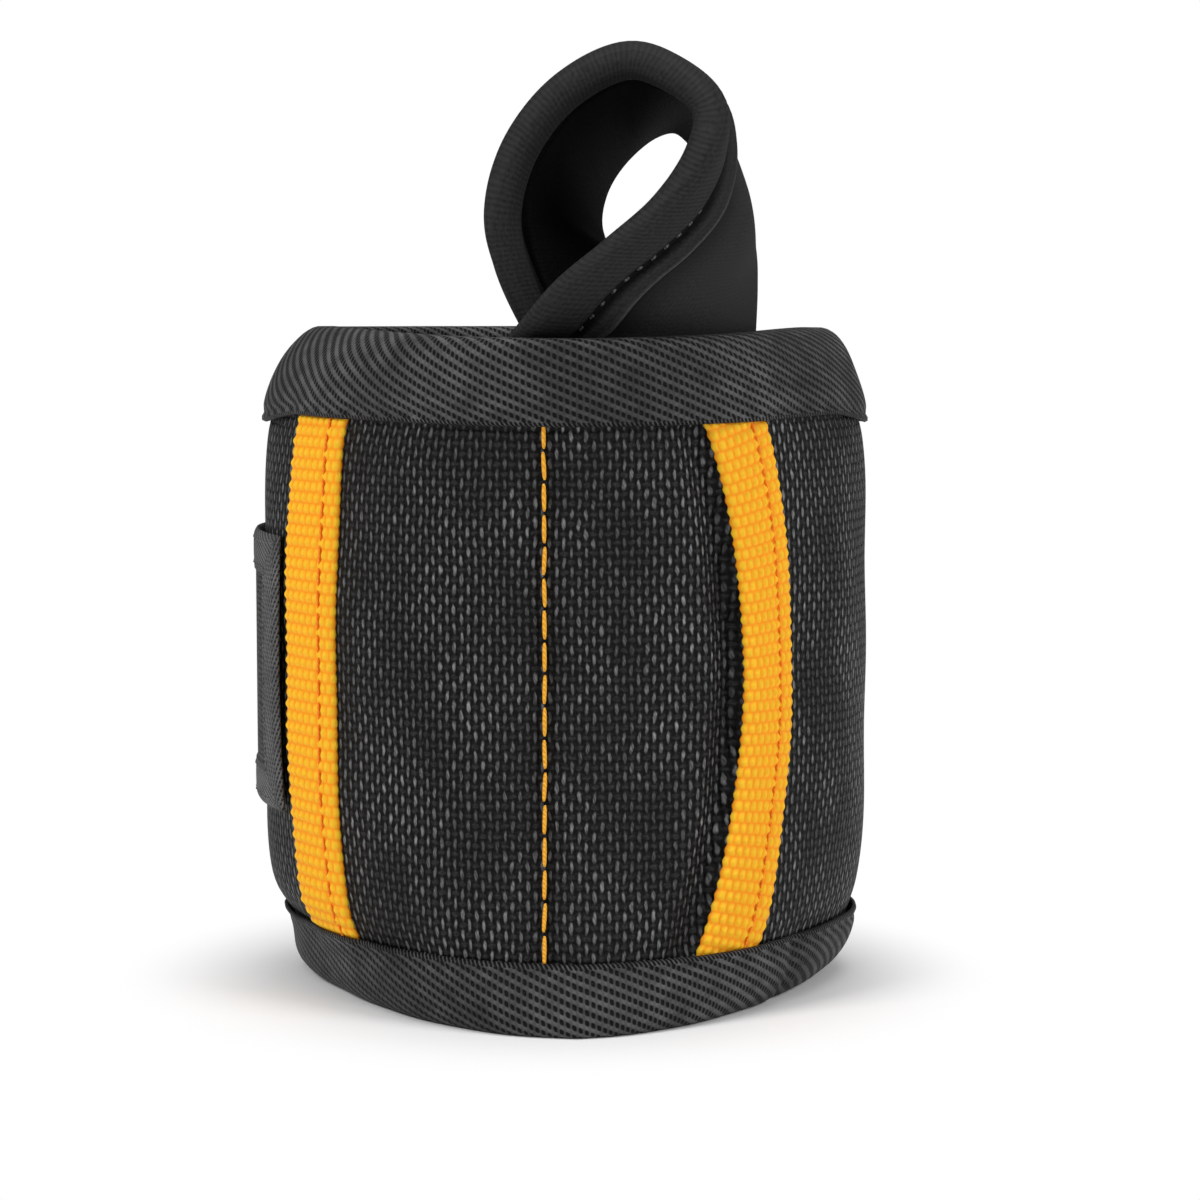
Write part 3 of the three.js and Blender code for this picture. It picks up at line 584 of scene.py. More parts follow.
def makeStitchTree():
    tree = bpy.data.node_groups.new("stitchRow", "GeometryNodeTree")
    face = tree.interface
    face.new_socket("Geometry", in_out="INPUT", socket_type="NodeSocketGeometry")
    for name, start in stitchDefaults.items():
        socket = face.new_socket(name, in_out="INPUT", socket_type="NodeSocketFloat")
        socket.default_value = start
    face.new_socket("Thread", in_out="INPUT", socket_type="NodeSocketMaterial")
    face.new_socket("Geometry", in_out="OUTPUT", socket_type="NodeSocketGeometry")
    add = tree.nodes.new
    link = tree.links.new
    asked = add("NodeGroupInput").outputs
    toCurve = add("GeometryNodeMeshToCurve")
    resample = add("GeometryNodeResampleCurve")
    resample.mode = "LENGTH"
    link(asked["Geometry"], toCurve.inputs["Mesh"])
    link(toCurve.outputs["Curve"], resample.inputs["Curve"])
    link(asked["Pitch"], resample.inputs["Length"])
    # the ends of a stitch are blunt, so its points are drawn towards them
    stitch = add("GeometryNodeMeshUVSphere")
    stitch.inputs["Segments"].default_value = 8
    stitch.inputs["Rings"].default_value = 6
    spot = add("GeometryNodeInputPosition")
    split = add("ShaderNodeSeparateXYZ")
    link(spot.outputs["Position"], split.inputs[0])
    along = split.outputs[2]
    offset = add("ShaderNodeCombineXYZ")
    put(tree, offset.inputs[2], times(tree, along, minus(tree, 1, calc(tree, "ABSOLUTE", along))))
    blunt = add("GeometryNodeSetPosition")
    link(stitch.outputs["Mesh"], blunt.inputs["Geometry"])
    link(offset.outputs[0], blunt.inputs["Offset"])
    # each one follows the path and sways a little
    tangent = add("GeometryNodeInputTangent")
    align = add("FunctionNodeAlignRotationToVector")
    align.axis = "Z"
    link(tangent.outputs["Tangent"], align.inputs["Vector"])
    sway = add("FunctionNodeRandomValue")
    sway.data_type = "FLOAT_VECTOR"
    sway.inputs["Seed"].default_value = 7
    link(times(tree, asked["Sway"], -1), sway.inputs["Min"])
    link(asked["Sway"], sway.inputs["Max"])
    turn = add("FunctionNodeEulerToRotation")
    link(sway.outputs["Value"], turn.inputs["Euler"])
    rotate = add("FunctionNodeRotateRotation")
    rotate.rotation_space = "LOCAL"
    link(align.outputs["Rotation"], rotate.inputs["Rotation"])
    link(turn.outputs["Rotation"], rotate.inputs["Rotate By"])
    size = add("ShaderNodeCombineXYZ")
    link(asked["Thread Radius"], size.inputs[0])
    link(asked["Thread Radius"], size.inputs[1])
    link(times(tree, asked["Stitch Length"], 0.5), size.inputs[2])
    place = add("GeometryNodeInstanceOnPoints")
    link(resample.outputs["Curve"], place.inputs["Points"])
    link(blunt.outputs["Geometry"], place.inputs["Instance"])
    link(rotate.outputs["Rotation"], place.inputs["Rotation"])
    link(size.outputs[0], place.inputs["Scale"])
    realize = add("GeometryNodeRealizeInstances")
    link(place.outputs["Instances"], realize.inputs["Geometry"])
    smooth = add("GeometryNodeSetShadeSmooth")
    link(realize.outputs["Geometry"], smooth.inputs["Geometry"])
    paint = add("GeometryNodeSetMaterial")
    link(smooth.outputs["Geometry"], paint.inputs["Geometry"])
    link(asked["Thread"], paint.inputs["Material"])
    link(paint.outputs["Geometry"], add("NodeGroupOutput").inputs["Geometry"])
    return tree


stitchTree = makeStitchTree()
stitchInputs = [item for item in stitchTree.interface.items_tree if item.in_out == "INPUT"]
stitchSockets = {item.name: item.identifier for item in stitchInputs}


def stitchSettings(pitch, length, radius, sway, thread):
    settings = {"Pitch": pitch, "Stitch Length": length, "Thread Radius": radius, "Sway": sway}
    settings["Thread"] = looks[thread]
    return settings


def stitchRows(name, paths, settings):
    # every path is a row of points in metres
    points, edges = [], []
    for path in paths:
        start = len(points)
        points.extend(np.asarray(path).tolist())
        edges.extend((start + i, start + i + 1) for i in range(len(path) - 1))
    guideMesh = bpy.data.meshes.new(name + "_guide")
    guideMesh.from_pydata(points, edges, [])
    guide = addObject(name + "_guide", guideMesh)
    modifier = guide.modifiers.new("stitchRow", "NODES")
    modifier.node_group = stitchTree
    for socket, value in settings.items():
        modifier[stitchSockets[socket]] = value
    graph = bpy.context.evaluated_depsgraph_get()
    mesh = bpy.data.meshes.new_from_object(guide.evaluated_get(graph))
    mesh.name = name
    bpy.data.objects.remove(guide)
    bpy.data.meshes.remove(guideMesh)
    return addObject(name, mesh)


# which way each side runs, and the plane where its wing ends
sides = {
    "left": {"sign": -1, "end": band["leftEnd"]},
    "right": {"sign": 1, "end": band["rightEnd"]},
}
clothEnd = 1.2 * mm
middleHeight = band["height"] / 2


def bendWithWing(piece):
    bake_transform(piece)


def wingEnd(z, side, inset=0.0):
    part = sides[side]
    return backArc(z, part["end"] + part["sign"] * inset, part["sign"])


def sideSheet(name, side, settings, layers, material):
    # from the centre seam to the wing's end, layers gives the offsets of the two faces
    start = band["seamArc"]
    length = abs(wingEnd(middleHeight, side, clothEnd) - start)
    t = np.linspace(0, 1, int(length / settings["step"]))
    outer, inner, uv = [], [], []
    for z in np.arange(settings["edge"], band["height"] - settings["edge"] + 1e-6, settings["step"]):
        arcs = start + t * (wingEnd(z, side, clothEnd) - start)
        high, low = layers(arcs, z, side)
        outer.append(bandRow(arcs, z, high))
        inner.append(bandRow(arcs, z, low))
        uv.append(np.stack([arcs, np.full_like(arcs, z)], axis=-1))
    piece = closedSheet(name + side, np.array(outer), np.array(inner), np.array(uv), material)
    bendWithWing(piece)
    return piece, length


# outer cloth of the front and the wings: one sheet each way from the centre seam
cloth = {
    "thickness": 1 * mm,
    "step": 1.05 * mm,
    "edge": 1.2 * mm,
    "swell": 0.7 * mm,
    "seamDip": 0.75 * mm,
    "dipWidth": 1.6 * mm,
    "pucker": 0.16 * mm,
    "puckerPitch": 3.5 * mm,
    "puckerReach": 3 * mm,
    "wave": 0.22 * mm,
    "tuck": 0.25 * mm,
    "tuckWidth": 2 * mm,
    "padFall": 1.2 * mm,
    "fallRamps": ((-4, -1), (-1.3, 1.3), (1, 4)),
    "padFold": 2.4 * mm,
    "foldRamps": ((-2.1, -1.4), (-1.2, -0.98)),
}


def webbingCentre(side, z):
    return band[side + "Webbing"] + band[side + "Bow"] * levelOf(z) ** 2


def webbingLean(side, z):
    # how far the strip's middle moves sideways for each metre up
    return 4 * band[side + "Bow"] * levelOf(z) / band["height"]


def webbingWidth(side, z):
    narrowing = band["rightNarrowing"] if side == "right" else 0
    return band["webbingWidth"] - narrowing * (1 - levelOf(z) ** 2)


def padFall(arcs, z, side):
    # the padding ends beside the right webbing, so the cloth folds in and falls away there
    if side == "left":
        return np.zeros_like(arcs)
    upright = math.sin(math.pi * np.clip((z - bottomSeam) / (topSeam - bottomSeam), 0, 1))
    # part is -1 and 1 at the two edges of the webbing
    part = (arcs - webbingCentre(side, z)) / (webbingWidth(side, z) / 2)
    before, under, after = [smoothStep(part, *ramp) for ramp in cloth["fallRamps"]]
    rise = before - 2 * under + after
    into, outOf = [smoothStep(part, *ramp) for ramp in cloth["foldRamps"]]
    fold = into * (1 - outOf)
    return cloth["padFall"] * upright * rise - cloth["padFold"] * upright ** 0.3 * fold


def clothRelief(arcs, z, side):
    # padding swells between the seams, the seam pulls in and puckers
    sign = sides[side]["sign"]
    pocketEnd = webbingCentre(side, z) - sign * webbingWidth(side, z) / 2
    part = np.clip((arcs - band["seamArc"]) / (pocketEnd - band["seamArc"]), 0, 1)
    upright = np.clip((z - bottomSeam) / (topSeam - bottomSeam), 0, 1)
    swell = np.sin(math.pi * part) ** 0.7 * math.sin(math.pi * upright) ** 0.5 * cloth["swell"]
    away = np.abs(arcs - band["seamArc"])
    dip = cloth["seamDip"] * np.exp(-(away / cloth["dipWidth"]) ** 1.3)
    pucker = cloth["pucker"] * math.cos(2 * math.pi * z / cloth["puckerPitch"])
    pucker = pucker * np.exp(-away / cloth["puckerReach"])
    # two crossing waves, in radians per metre
    wave = np.sin(arcs * 210 + z * 95) * np.sin(z * 160 - arcs * 60 + 1.3)
    tuck = bump(z, topSeam, cloth["tuckWidth"]) + bump(z, bottomSeam, cloth["tuckWidth"])
    relief = swell - dip + pucker + wave * cloth["wave"] - tuck * cloth["tuck"]
    return relief + padFall(arcs, z, side)


def clothLayers(arcs, z, side):
    relief = clothRelief(arcs, z, side)
    return relief, relief - cloth["thickness"]


def makeCloth(side):
    piece, length = sideSheet("cloth_", side, cloth, clothLayers, looks["nylon"])
    return piece


clothLeft = makeCloth("left")
clothRight = makeCloth("right")
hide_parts("front_panel", "left_wing_shell")
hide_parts("right_wing_shell")
print("cloth made")


# twill tape folded over the upper and lower edges, joined at the soft ridge in front
binding = {
    "thickness": 0.55 * mm,
    "outlinePoints": 46,
    "step": 1 * mm,
    "ridge": 0.55 * mm,
    "ridgeWidth": 2.6 * mm,
    "overWebbing": 0.45 * mm,
    "overRamp": (-0.6 * mm, 1.2 * mm),
    "overRise": (-4 * mm, -1 * mm),
    "outsideRamp": (-2 * mm, 0.3 * mm),
    "wave": 0.16 * mm,
    "flare": {"top": 0.7 * mm, "bottom": 0.05 * mm},
    "flareArc": 64 * mm,
    "flareWidth": 16 * mm,
    "flareReach": 7 * mm,
    "droop": {"top": 1.8 * mm, "bottom": 0.0},
    "droopArcs": (44 * mm, 62 * mm),
    "fold": 0.5 * mm,
    "foldArc": 37 * mm,
    "foldWidth": 1.3 * mm,
    "endRound": 1.6 * mm,
    "endSteps": (0.75, 0.5, 0.3, 0.15, 0.05, 0),
    "endGap": 0.12,
    "middle": -1.25 * mm,
    "uvDistance": 5 * mm,
}


def tapeOutline(outerLeg, innerLeg):
    # offset from the cloth and distance from the edge in mm, down one face and up the other
    controls = [
        (0.2, outerLeg), (0.72, outerLeg - 0.25), (0.78, outerLeg - 0.8), (0.62, outerLeg - 1.25),
        (0.95, outerLeg - 2), (1.2, outerLeg - 3.6), (1.3, outerLeg * 0.42), (1.2, 2.1), (0.85, 0.75),
        (0.1, 0.08), (-1.25, 0), (-2.6, 0.08), (-3.35, 0.75), (-3.65, 2.1), (-3.7, innerLeg * 0.5),
        (-3.6, innerLeg - 0.8), (-3.1, innerLeg),
    ]
    return splinePath(np.array(controls) * mm, binding["outlinePoints"])


def tapeHeight(edge, distance):
    return band["height"] - distance if edge == "top" else distance


def tapeExtra(arcs, side, edge, distance, outerLeg):
    ridge = binding["ridge"] * np.exp(-np.abs(arcs - band["ridgeArc"]) / binding["ridgeWidth"])
    z = tapeHeight(edge, distance)
    near = np.abs(arcs - webbingCentre(side, z)) - webbingWidth(side, z) / 2
    over = binding["overWebbing"] * (1 - smoothStep(near, *binding["overRamp"]))
    over = over * smoothStep(distance - outerLeg, *binding["overRise"])
    # two crossing waves, in radians per metre
    wave = binding["wave"] * np.sin(arcs * 330 + distance * 200) * np.sin(arcs * 120 + 0.7)
    flare = binding["flare"][edge] * bump(np.abs(arcs), binding["flareArc"], binding["flareWidth"])
    flare = flare * smoothStep(distance, outerLeg - binding["flareReach"], outerLeg)
    extra = ridge + over + wave + flare
    if edge == "bottom":
        extra = extra - binding["fold"] * bump(arcs, binding["foldArc"], binding["foldWidth"])
    return extra


def makeTape(side, edge):
    outerLeg, innerLeg = band[edge + "Tape"] / mm, band[edge + "Hem"] / mm
    outline = tapeOutline(outerLeg, innerLeg)
    lining = liningOf(outline, binding["thickness"], -1)
    run = runLength(outline)
    length = abs(wingEnd(middleHeight, side) - band["ridgeArc"])
    fromEnd = np.concatenate([
        np.linspace(length, binding["endRound"], int(length / binding["step"])),
        np.array(binding["endSteps"]) * binding["endRound"],
    ])
    t = 1 - fromEnd / length
    # the end is sewn shut, so both faces come together there
    shut = np.sqrt(np.clip(1 - np.clip(1 - fromEnd / binding["endRound"], 0, 1) ** 2, 0, 1))
    shut = binding["endGap"] + (1 - binding["endGap"]) * shut
    grids = []
    for line in (outline, lining):
        grid = []
        for (offset, distance), (rawOffset, _) in zip(line, outline):
            z = tapeHeight(edge, max(distance, 0))
            arcs = band["ridgeArc"] + t * (wingEnd(z, side) - band["ridgeArc"])
            outside = smoothStep(rawOffset, *binding["outsideRamp"])
            offsets = offset + outside * tapeExtra(arcs, side, edge, distance, outerLeg * mm)
            row = bandRow(arcs, z, binding["middle"] + (offsets - binding["middle"]) * shut)
            droop = binding["droop"][edge] * smoothStep(np.abs(arcs), *binding["droopArcs"])
            row[:, 2] -= outside * droop * smoothStep(distance, 0, outerLeg * mm)
            grid.append(row)
        grids.append(np.array(grid))
    end = wingEnd(tapeHeight(edge, binding["uvDistance"]), side)
    arcs = band["ridgeArc"] + t * (end - band["ridgeArc"])
    uv = np.stack(np.meshgrid(arcs, run), axis=-1)
    if edge == "bottom":
        uv[..., 1] *= -1
    piece = closedSheet(edge + "_tape_" + side, grids[0], grids[1], uv, looks["twill"])
    bendWithWing(piece)
    return piece


for edge in ("top", "bottom"):
    for side in ("left", "right"):
        tape = makeTape(side, edge)
        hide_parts(side + "_" + edge + "_binding")
        if side == "left":
            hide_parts(edge + "_binding_front")
print("bindings made")


# bound ends of the wings
endTape = {
    "leg": 7,
    "outlinePoints": 34,
    "thickness": 0.5 * mm,
    "overlap": 1 * mm,
    "step": 1 * mm,
    "stitchInset": 5.6 * mm,
    "stitchOut": 0.7 * mm,
    "stitches": stitchSettings(2.6 * mm, 2 * mm, 0.2 * mm, 0.08, "blackThread"),
}


def makeEndTape(side):
    # distance from the wing's end and offset from the cloth in mm
    leg = endTape["leg"]
    controls = [
        (leg, 0.3), (leg - 0.3, 0.75), (5.6, 0.62), (4, 0.85), (1.6, 0.8), (0.4, 0.3), (0, -1.2),
        (0.4, -2.7), (1.6, -3.15), (4, -3.2), (leg - 0.3, -3.1), (leg, -2.7),
    ]
    outline = splinePath(np.array(controls) * mm, endTape["outlinePoints"])
    lining = liningOf(outline, endTape["thickness"], 1)
    run = runLength(outline)
    top = topSeam + endTape["overlap"]
    heights = np.arange(bottomSeam - endTape["overlap"], top + 0.01 * mm, endTape["step"])
    sign = sides[side]["sign"]
    grids = []
    for line in (outline, lining):
        grid = []
        for z in heights:
            arcs = wingEnd(z, side) - sign * line[:, 0]
            grid.append(bandRow(arcs, z, line[:, 1]))
        grids.append(np.array(grid))
    uv = np.stack(np.meshgrid(run, heights), axis=-1)[..., ::-1]
    piece = closedSheet("end_tape_" + side, grids[0], grids[1], uv, looks["twill"])
    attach(piece, side + "_wing")
    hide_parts(side + "_end_binding")
    path = []
    for z in heights:
        arc = wingEnd(z, side) - sign * endTape["stitchInset"]
        path.append(bandRow(np.array([arc]), z, endTape["stitchOut"])[0])
    row = stitchRows("end_tape_stitches_" + side, [path], endTape["stitches"])
    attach(row, side + "_wing")


makeEndTape("left")
makeEndTape("right")
print("wing ends made")


# lining against the wrist, crowned over the padding
liner = {
    "thickness": 1.2 * mm,
    "edge": 1.4 * mm,
    "step": 1.5 * mm,
    "flatFace": -2.5 * mm,
    "padDepth": 3.3 * mm,
    "pocketInset": 4 * mm,
    "pocketRamp": (-4 * mm, 6 * mm),
    "padBottom": (6.5 * mm, 14 * mm),
    "padTop": (75 * mm, 82.5 * mm),
    "seamDip": 0.3,
    "seamWidth": 1.6 * mm,
    "cell": 12.2 * mm,
    "quilt": 0.32 * mm,
    "wave": 0.35 * mm,
    "wingPad": 0.5 * mm,
    "wingPadHeights": (6.5 * mm, 82 * mm),
}


def linerFace(arcs, z, side):
    sign = sides[side]["sign"]
    pocketEnd = webbingCentre(side, z) - sign * liner["pocketInset"]
    inPocket = smoothStep((pocketEnd - arcs) * sign, *liner["pocketRamp"])
    upright = smoothStep(z, *liner["padBottom"]) * (1 - smoothStep(z, *liner["padTop"]))
    seam = 1 - liner["seamDip"] * bump(arcs, band["seamArc"], liner["seamWidth"])
    cell = np.abs(np.sin(math.pi * z / liner["cell"])) ** 0.6
    # two crossing waves, in radians per metre
    softly = liner["wave"] * np.sin(arcs * 170 + 40 * z) * math.sin(z * 110 + 0.4)
    low, high = liner["wingPadHeights"]
    wingPad = liner["wingPad"] * math.sin(math.pi * np.clip((z - low) / (high - low), 0, 1)) ** 0.5
    depth = liner["padDepth"] * inPocket * upright * seam + wingPad * (1 - inPocket) + softly * upright
    return liner["flatFace"] - depth - liner["quilt"] * (cell - 1) * inPocket * upright


def linerLayers(arcs, z, side):
    face = linerFace(arcs, z, side)
    return face + liner["thickness"], face


def makeLiner(side):
    piece, _ = sideSheet("liner_", side, liner, linerLayers, looks["spacer"])
    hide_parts(side + "_wing_liner")
    return piece


linerLeft = makeLiner("left")
makeLiner("right")
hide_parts("front_liner")
print("lining made")


# orange webbing: pillows between crossing yarns, one sewn line, ends tucked under the tape
webbing = {
    "columns": 8,
    "columnPitch": webbingWeave["column"] * mm,
    "rowPitch": webbingWeave["row"] * mm,
    "samples": 6,
    "base": 0.65 * mm,
    "floor": 0.1 * mm,
    "pillow": 0.46 * mm,
    "flatEdge": 0.25,
    "roundEdge": 0.07,
    "scallop": 0.2 * mm,
    "tuck": 2 * mm,
    "tuckRamp": (0.6 * mm, 3 * mm),
    "groove": 0.26 * mm,
    "grooveWidth": 0.045,
    "threadOut": 0.78 * mm,
    "sewnAt": {"left": 0.74, "right": 0.7},
    "stitches": stitchSettings(2.98 * mm, 2.7 * mm, 0.16 * mm, 0.05, "deepThread"),
}


def pillowProfile(turns):
    wave = np.abs(np.sin(math.pi * turns))
    return 0.4 * wave + 0.6 * wave ** 2


def makeWebbing(side):
    low, high = bottomSeam - webbing["tuck"], topSeam + webbing["tuck"]
    rows = int((high - low) / webbing["rowPitch"] * webbing["samples"])
    across = np.linspace(0, 1, webbing["columns"] * webbing["samples"] + 1)
    sewn = webbing["sewnAt"][side]
    outer, inner, uv, line = [], [], [], []
    for z in np.linspace(low, high, rows):
        # rows stay square to the strip where it leans
        along = z + (across - 0.5) * webbingWidth(side, z) * webbingLean(side, z)
        turns = along / webbing["rowPitch"]
        lumps = pillowProfile(turns)
        # every other row is shifted by half a pillow
        ribs = pillowProfile(across * webbing["columns"] + 0.5 * (np.floor(turns) % 2))
        width = webbingWidth(side, z) + 2 * webbing["scallop"] * (lumps - 0.5)
        arcs = webbingCentre(side, z) + (across - 0.5) * width
        shown = smoothStep(z - low, *webbing["tuckRamp"]) * smoothStep(high - z, *webbing["tuckRamp"])
        inset = np.minimum(across, 1 - across)
        edge = np.clip(inset / webbing["roundEdge"], 0, 1) ** 0.5
        pillow = webbing["pillow"] * (0.6 + 0.4 * smoothStep(inset, 0, webbing["flatEdge"]))
        height = webbing["base"] * (0.2 + 0.8 * edge) + pillow * ribs * lumps * edge
        height = height - webbing["groove"] * bump(across, sewn, webbing["grooveWidth"])
        under = clothRelief(arcs, z, side)
        # flatter where it is tucked under the tape
        height = webbing["floor"] + height * (0.3 + 0.7 * shown)
        outer.append(bandRow(arcs, z, under + height))
        inner.append(bandRow(arcs, z, under))
        uv.append(np.stack([across * webbing["columns"] * webbing["columnPitch"], along], axis=-1))
        if bottomSeam < z < topSeam:
            at = np.array([webbingCentre(side, z) + (sewn - 0.5) * webbingWidth(side, z)])
            line.append(bandRow(at, z, clothRelief(at, z, side) + webbing["threadOut"])[0])
    piece = closedSheet("webbing_" + side, np.array(outer), np.array(inner), np.array(uv), looks["webbing"])
    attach(piece, "front")
    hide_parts(side + "_webbing")
    row = stitchRows("webbing_stitches_" + side, [np.array(line)], webbing["stitches"])
    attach(row, "front")


makeWebbing("left")
makeWebbing("right")
print("webbing made")


# centre seam: one row of long stitches
centreSeam = {
    "fromBottom": 1.6 * mm,
    "fromTop": 1 * mm,
    "out": 0.2 * mm,
    "stitches": stitchSettings(4 * mm, 3.8 * mm, 0.29 * mm, 0.06, "orangeThread"),
}
seamHeights = np.linspace(bottomSeam + centreSeam["fromBottom"], topSeam - centreSeam["fromTop"], 80)
seamLine = bandPoints(band["seamArc"], seamHeights, centreSeam["out"])
seamRow = stitchRows("centre_seam", [seamLine], centreSeam["stitches"])
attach(seamRow, "front")
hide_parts("centre_seam_thread")
print("centre seam made")


# strap: anchor and back run in one piece, tip in another, each with a bound border
strap = {
    "low": 24.3 * mm,
    "high": 62.3 * mm,
    "tipArc": -46.4 * mm,
    "splitX": -20 * mm,
    "anchorX": 32 * mm,
    "webEdge": 0.7 * mm,
    "webLayers": (1.25 * mm, 0.8 * mm),
    "step": 1.2 * mm,
    "border": 6 * mm,
    "borderFold": 1.5 * mm,
    "borderOut": 1.5 * mm,
    "borderIn": 0.5 * mm,
    "borderThickness": 0.3 * mm,
    "borderPoints": 30,
    "endRows": 30,
    "mitreGap": 0.004,
    "stitchPoints": 60,
    "layDown": 0.45 * mm,
    "layFromX": 20.5 * mm,
    "layToX": 25 * mm,
    "bendBefore": 3 * mm,
    "bendAfter": 5 * mm,
    "tipBend": 9 * mm,
    "stitchInsets": (1.4 * mm, 4.9 * mm),
    "stitches": stitchSettings(2.4 * mm, 1.9 * mm, 0.14 * mm, 0.08, "blackThread"),
}
strapMiddle = (strap["low"] + strap["high"]) / 2
strapHeight = strap["high"] - strap["low"]


def strapArc(x):
    return float(backArc(strapMiddle, x, -1))


def liftAt(arcs):
    # past the bound end of the right wing the sewn end lies down on the cloth
    lowered = smoothStep(-arcs, -strapArc(strap["layFromX"]), -strapArc(strap["layToX"]))
    return -strap["layDown"] * lowered


def strapSheet(name, fromArc, toArc, low, high, layers, material):
    columns = int(abs(toArc - fromArc) / strap["step"]) + 1
    arcs = np.linspace(fromArc, toArc, columns)
    heights = np.linspace(low, high, int((high - low) / strap["step"]) + 1)
    lift = liftAt(arcs)
    outer, inner = [np.array([bandRow(arcs, z, level + lift) for z in heights]) for level in layers]
    uv = np.stack(np.meshgrid(arcs, heights), axis=-1)
    return closedSheet(name, outer, inner, uv, material)


def strapBorder(name, openArc, endArc):
    # one tape round three sides with mitred corners
    inward = 1 if openArc > endArc else -1
    reach = abs(openArc - endArc)
    toCorner = np.linspace(1, 0, int(reach / strap["step"]) + 1)[:, None]
    down = np.linspace(0, 1, strap["endRows"])[:, None]
    down = np.clip(down, strap["mitreGap"], 1 - strap["mitreGap"])
    width, thick = strap["border"] / mm, strap["borderThickness"] / mm
    top, under = strap["borderOut"] / mm, strap["borderIn"] / mm
    # distance from the edge and offset from the band in mm
    controls = [
        (width, top - thick), (width - 0.1, top - 0.1), (4.8, top), (2.5, top + 0.05), (0.8, top - 0.05),
        (0.15, top - 0.4), (0, (top + under) / 2), (0.15, under + 0.4), (0.8, under + 0.05),
        (2.5, under), (width - 0.1, under + 0.1), (width, under + thick),
    ]
    outline = splinePath(np.array(controls) * mm, strap["borderPoints"])
    lining = liningOf(outline, strap["borderThickness"], 1)
    grids = []
    for line in (outline, lining):
        inset = line[:, 0]
        long = endArc + inward * (inset + toCorner * (reach - inset))
        short = np.broadcast_to(endArc + inward * inset, (len(down), len(inset)))
        high = np.broadcast_to(strap["high"] - inset, long.shape)
        low = np.broadcast_to(strap["low"] + inset, long.shape)
        arcs = np.concatenate([long, short, long[::-1]])
        heights = np.concatenate([high, high[:1] + (low[:1] - high[:1]) * down, low])
        grids.append(bandPoints(arcs, np.round(heights, 7), line[:, 1] + liftAt(arcs)))
    # the weave runs straight along each side and meets at the mitres
    inset = outline[:, 0]
    along = np.concatenate([
        (1 - toCorner) * (reach - inset),
        reach + inset + down * (strapHeight - 2 * inset),
        reach + strapHeight + inset + toCorner[::-1] * (reach - inset),
    ])
    uv = np.stack([along, np.broadcast_to(runLength(outline), along.shape)], axis=-1)
    piece = closedSheet(name, grids[0], grids[1], uv, looks["strapTwill"])
    paths = []
    for inset in strap["stitchInsets"]:
        run = np.linspace(openArc, endArc + inward * inset, strap["stitchPoints"])
        side = np.linspace(strap["high"] - inset, strap["low"] + inset, strap["endRows"])
        arcs = np.concatenate([run, np.full(len(side) - 2, run[-1]), run[::-1]])
        heights = np.concatenate([np.full(len(run), side[0]), side[1:-1], np.full(len(run), side[-1])])
        paths.append(bandPoints(arcs, np.round(heights, 7), strap["borderOut"] + liftAt(arcs)))
    stitches = stitchRows(name + "_stitches", paths, strap["stitches"])
    return piece, stitches


def bendStrap(piece):
    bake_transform(piece)


def bendTip(piece):
    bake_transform(piece)


splitArc = strapArc(strap["splitX"])
anchorArc = strapArc(strap["anchorX"])
edgeIn = strap["webEdge"]
webLow, webHigh = strap["low"] + edgeIn, strap["high"] - edgeIn
web = strapSheet("strap_web_back", splitArc, anchorArc + edgeIn, webLow, webHigh,
                 strap["webLayers"], looks["strapNylon"])
bendStrap(web)
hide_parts("strap_web", "strap_anchor")
tip = strapSheet("strap_web_tip", splitArc, strap["tipArc"] - edgeIn, webLow, webHigh,
                 strap["webLayers"], looks["strapNylon"])
bendTip(tip)
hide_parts("strap_tip_web")

backBorder, backStitches = strapBorder("strap_border_back", splitArc, anchorArc)
tipBorder, tipStitches = strapBorder("strap_border_tip", splitArc, strap["tipArc"])
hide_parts("strap_tip_binding")
for piece in (backBorder, backStitches):
    bendStrap(piece)
for piece in (tipBorder, tipStitches):
    bendTip(piece)

# hook tape inside the strap, loop tape on the left wing
tapes = {
    "inset": 7 * mm,
    "hookLayers": (0.78 * mm, 0.5 * mm),
    "hookEndX": -3 * mm,
    "patchLayers": (0.45 * mm, 0.05 * mm),
    "patchMargin": 5 * mm,
    "patchStart": -0.58 * math.pi,
    "patchEnd": 8 * mm,
}
hookLow, hookHigh = strap["low"] + tapes["inset"], strap["high"] - tapes["inset"]
hookEnd = strapArc(tapes["hookEndX"])
hookBack = strapSheet("hook_tape_back", splitArc, hookEnd, hookLow, hookHigh,
                      tapes["hookLayers"], looks["hookPile"])
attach(hookBack, "strap")
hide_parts("strap_hook_tape")
hookTip = strapSheet("hook_tape_tip", splitArc, strap["tipArc"] - tapes["inset"], hookLow, hookHigh,
                     tapes["hookLayers"], looks["hookPile"])
bendTip(hookTip)
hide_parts("strap_tip_hook_tape")
patchLow, patchHigh = strap["low"] - tapes["patchMargin"], strap["high"] + tapes["patchMargin"]
patchFrom = float(np.interp(tapes["patchStart"], arcAngles, arcTable(strapMiddle)))
patchTo = strapArc(band["leftEnd"] - tapes["patchEnd"])
patch = strapSheet("loop_tape_patch", patchFrom, patchTo, patchLow, patchHigh,
                   tapes["patchLayers"], looks["loopPile"])
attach(patch, "left_wing")
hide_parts("loop_patch")
print("strap made")


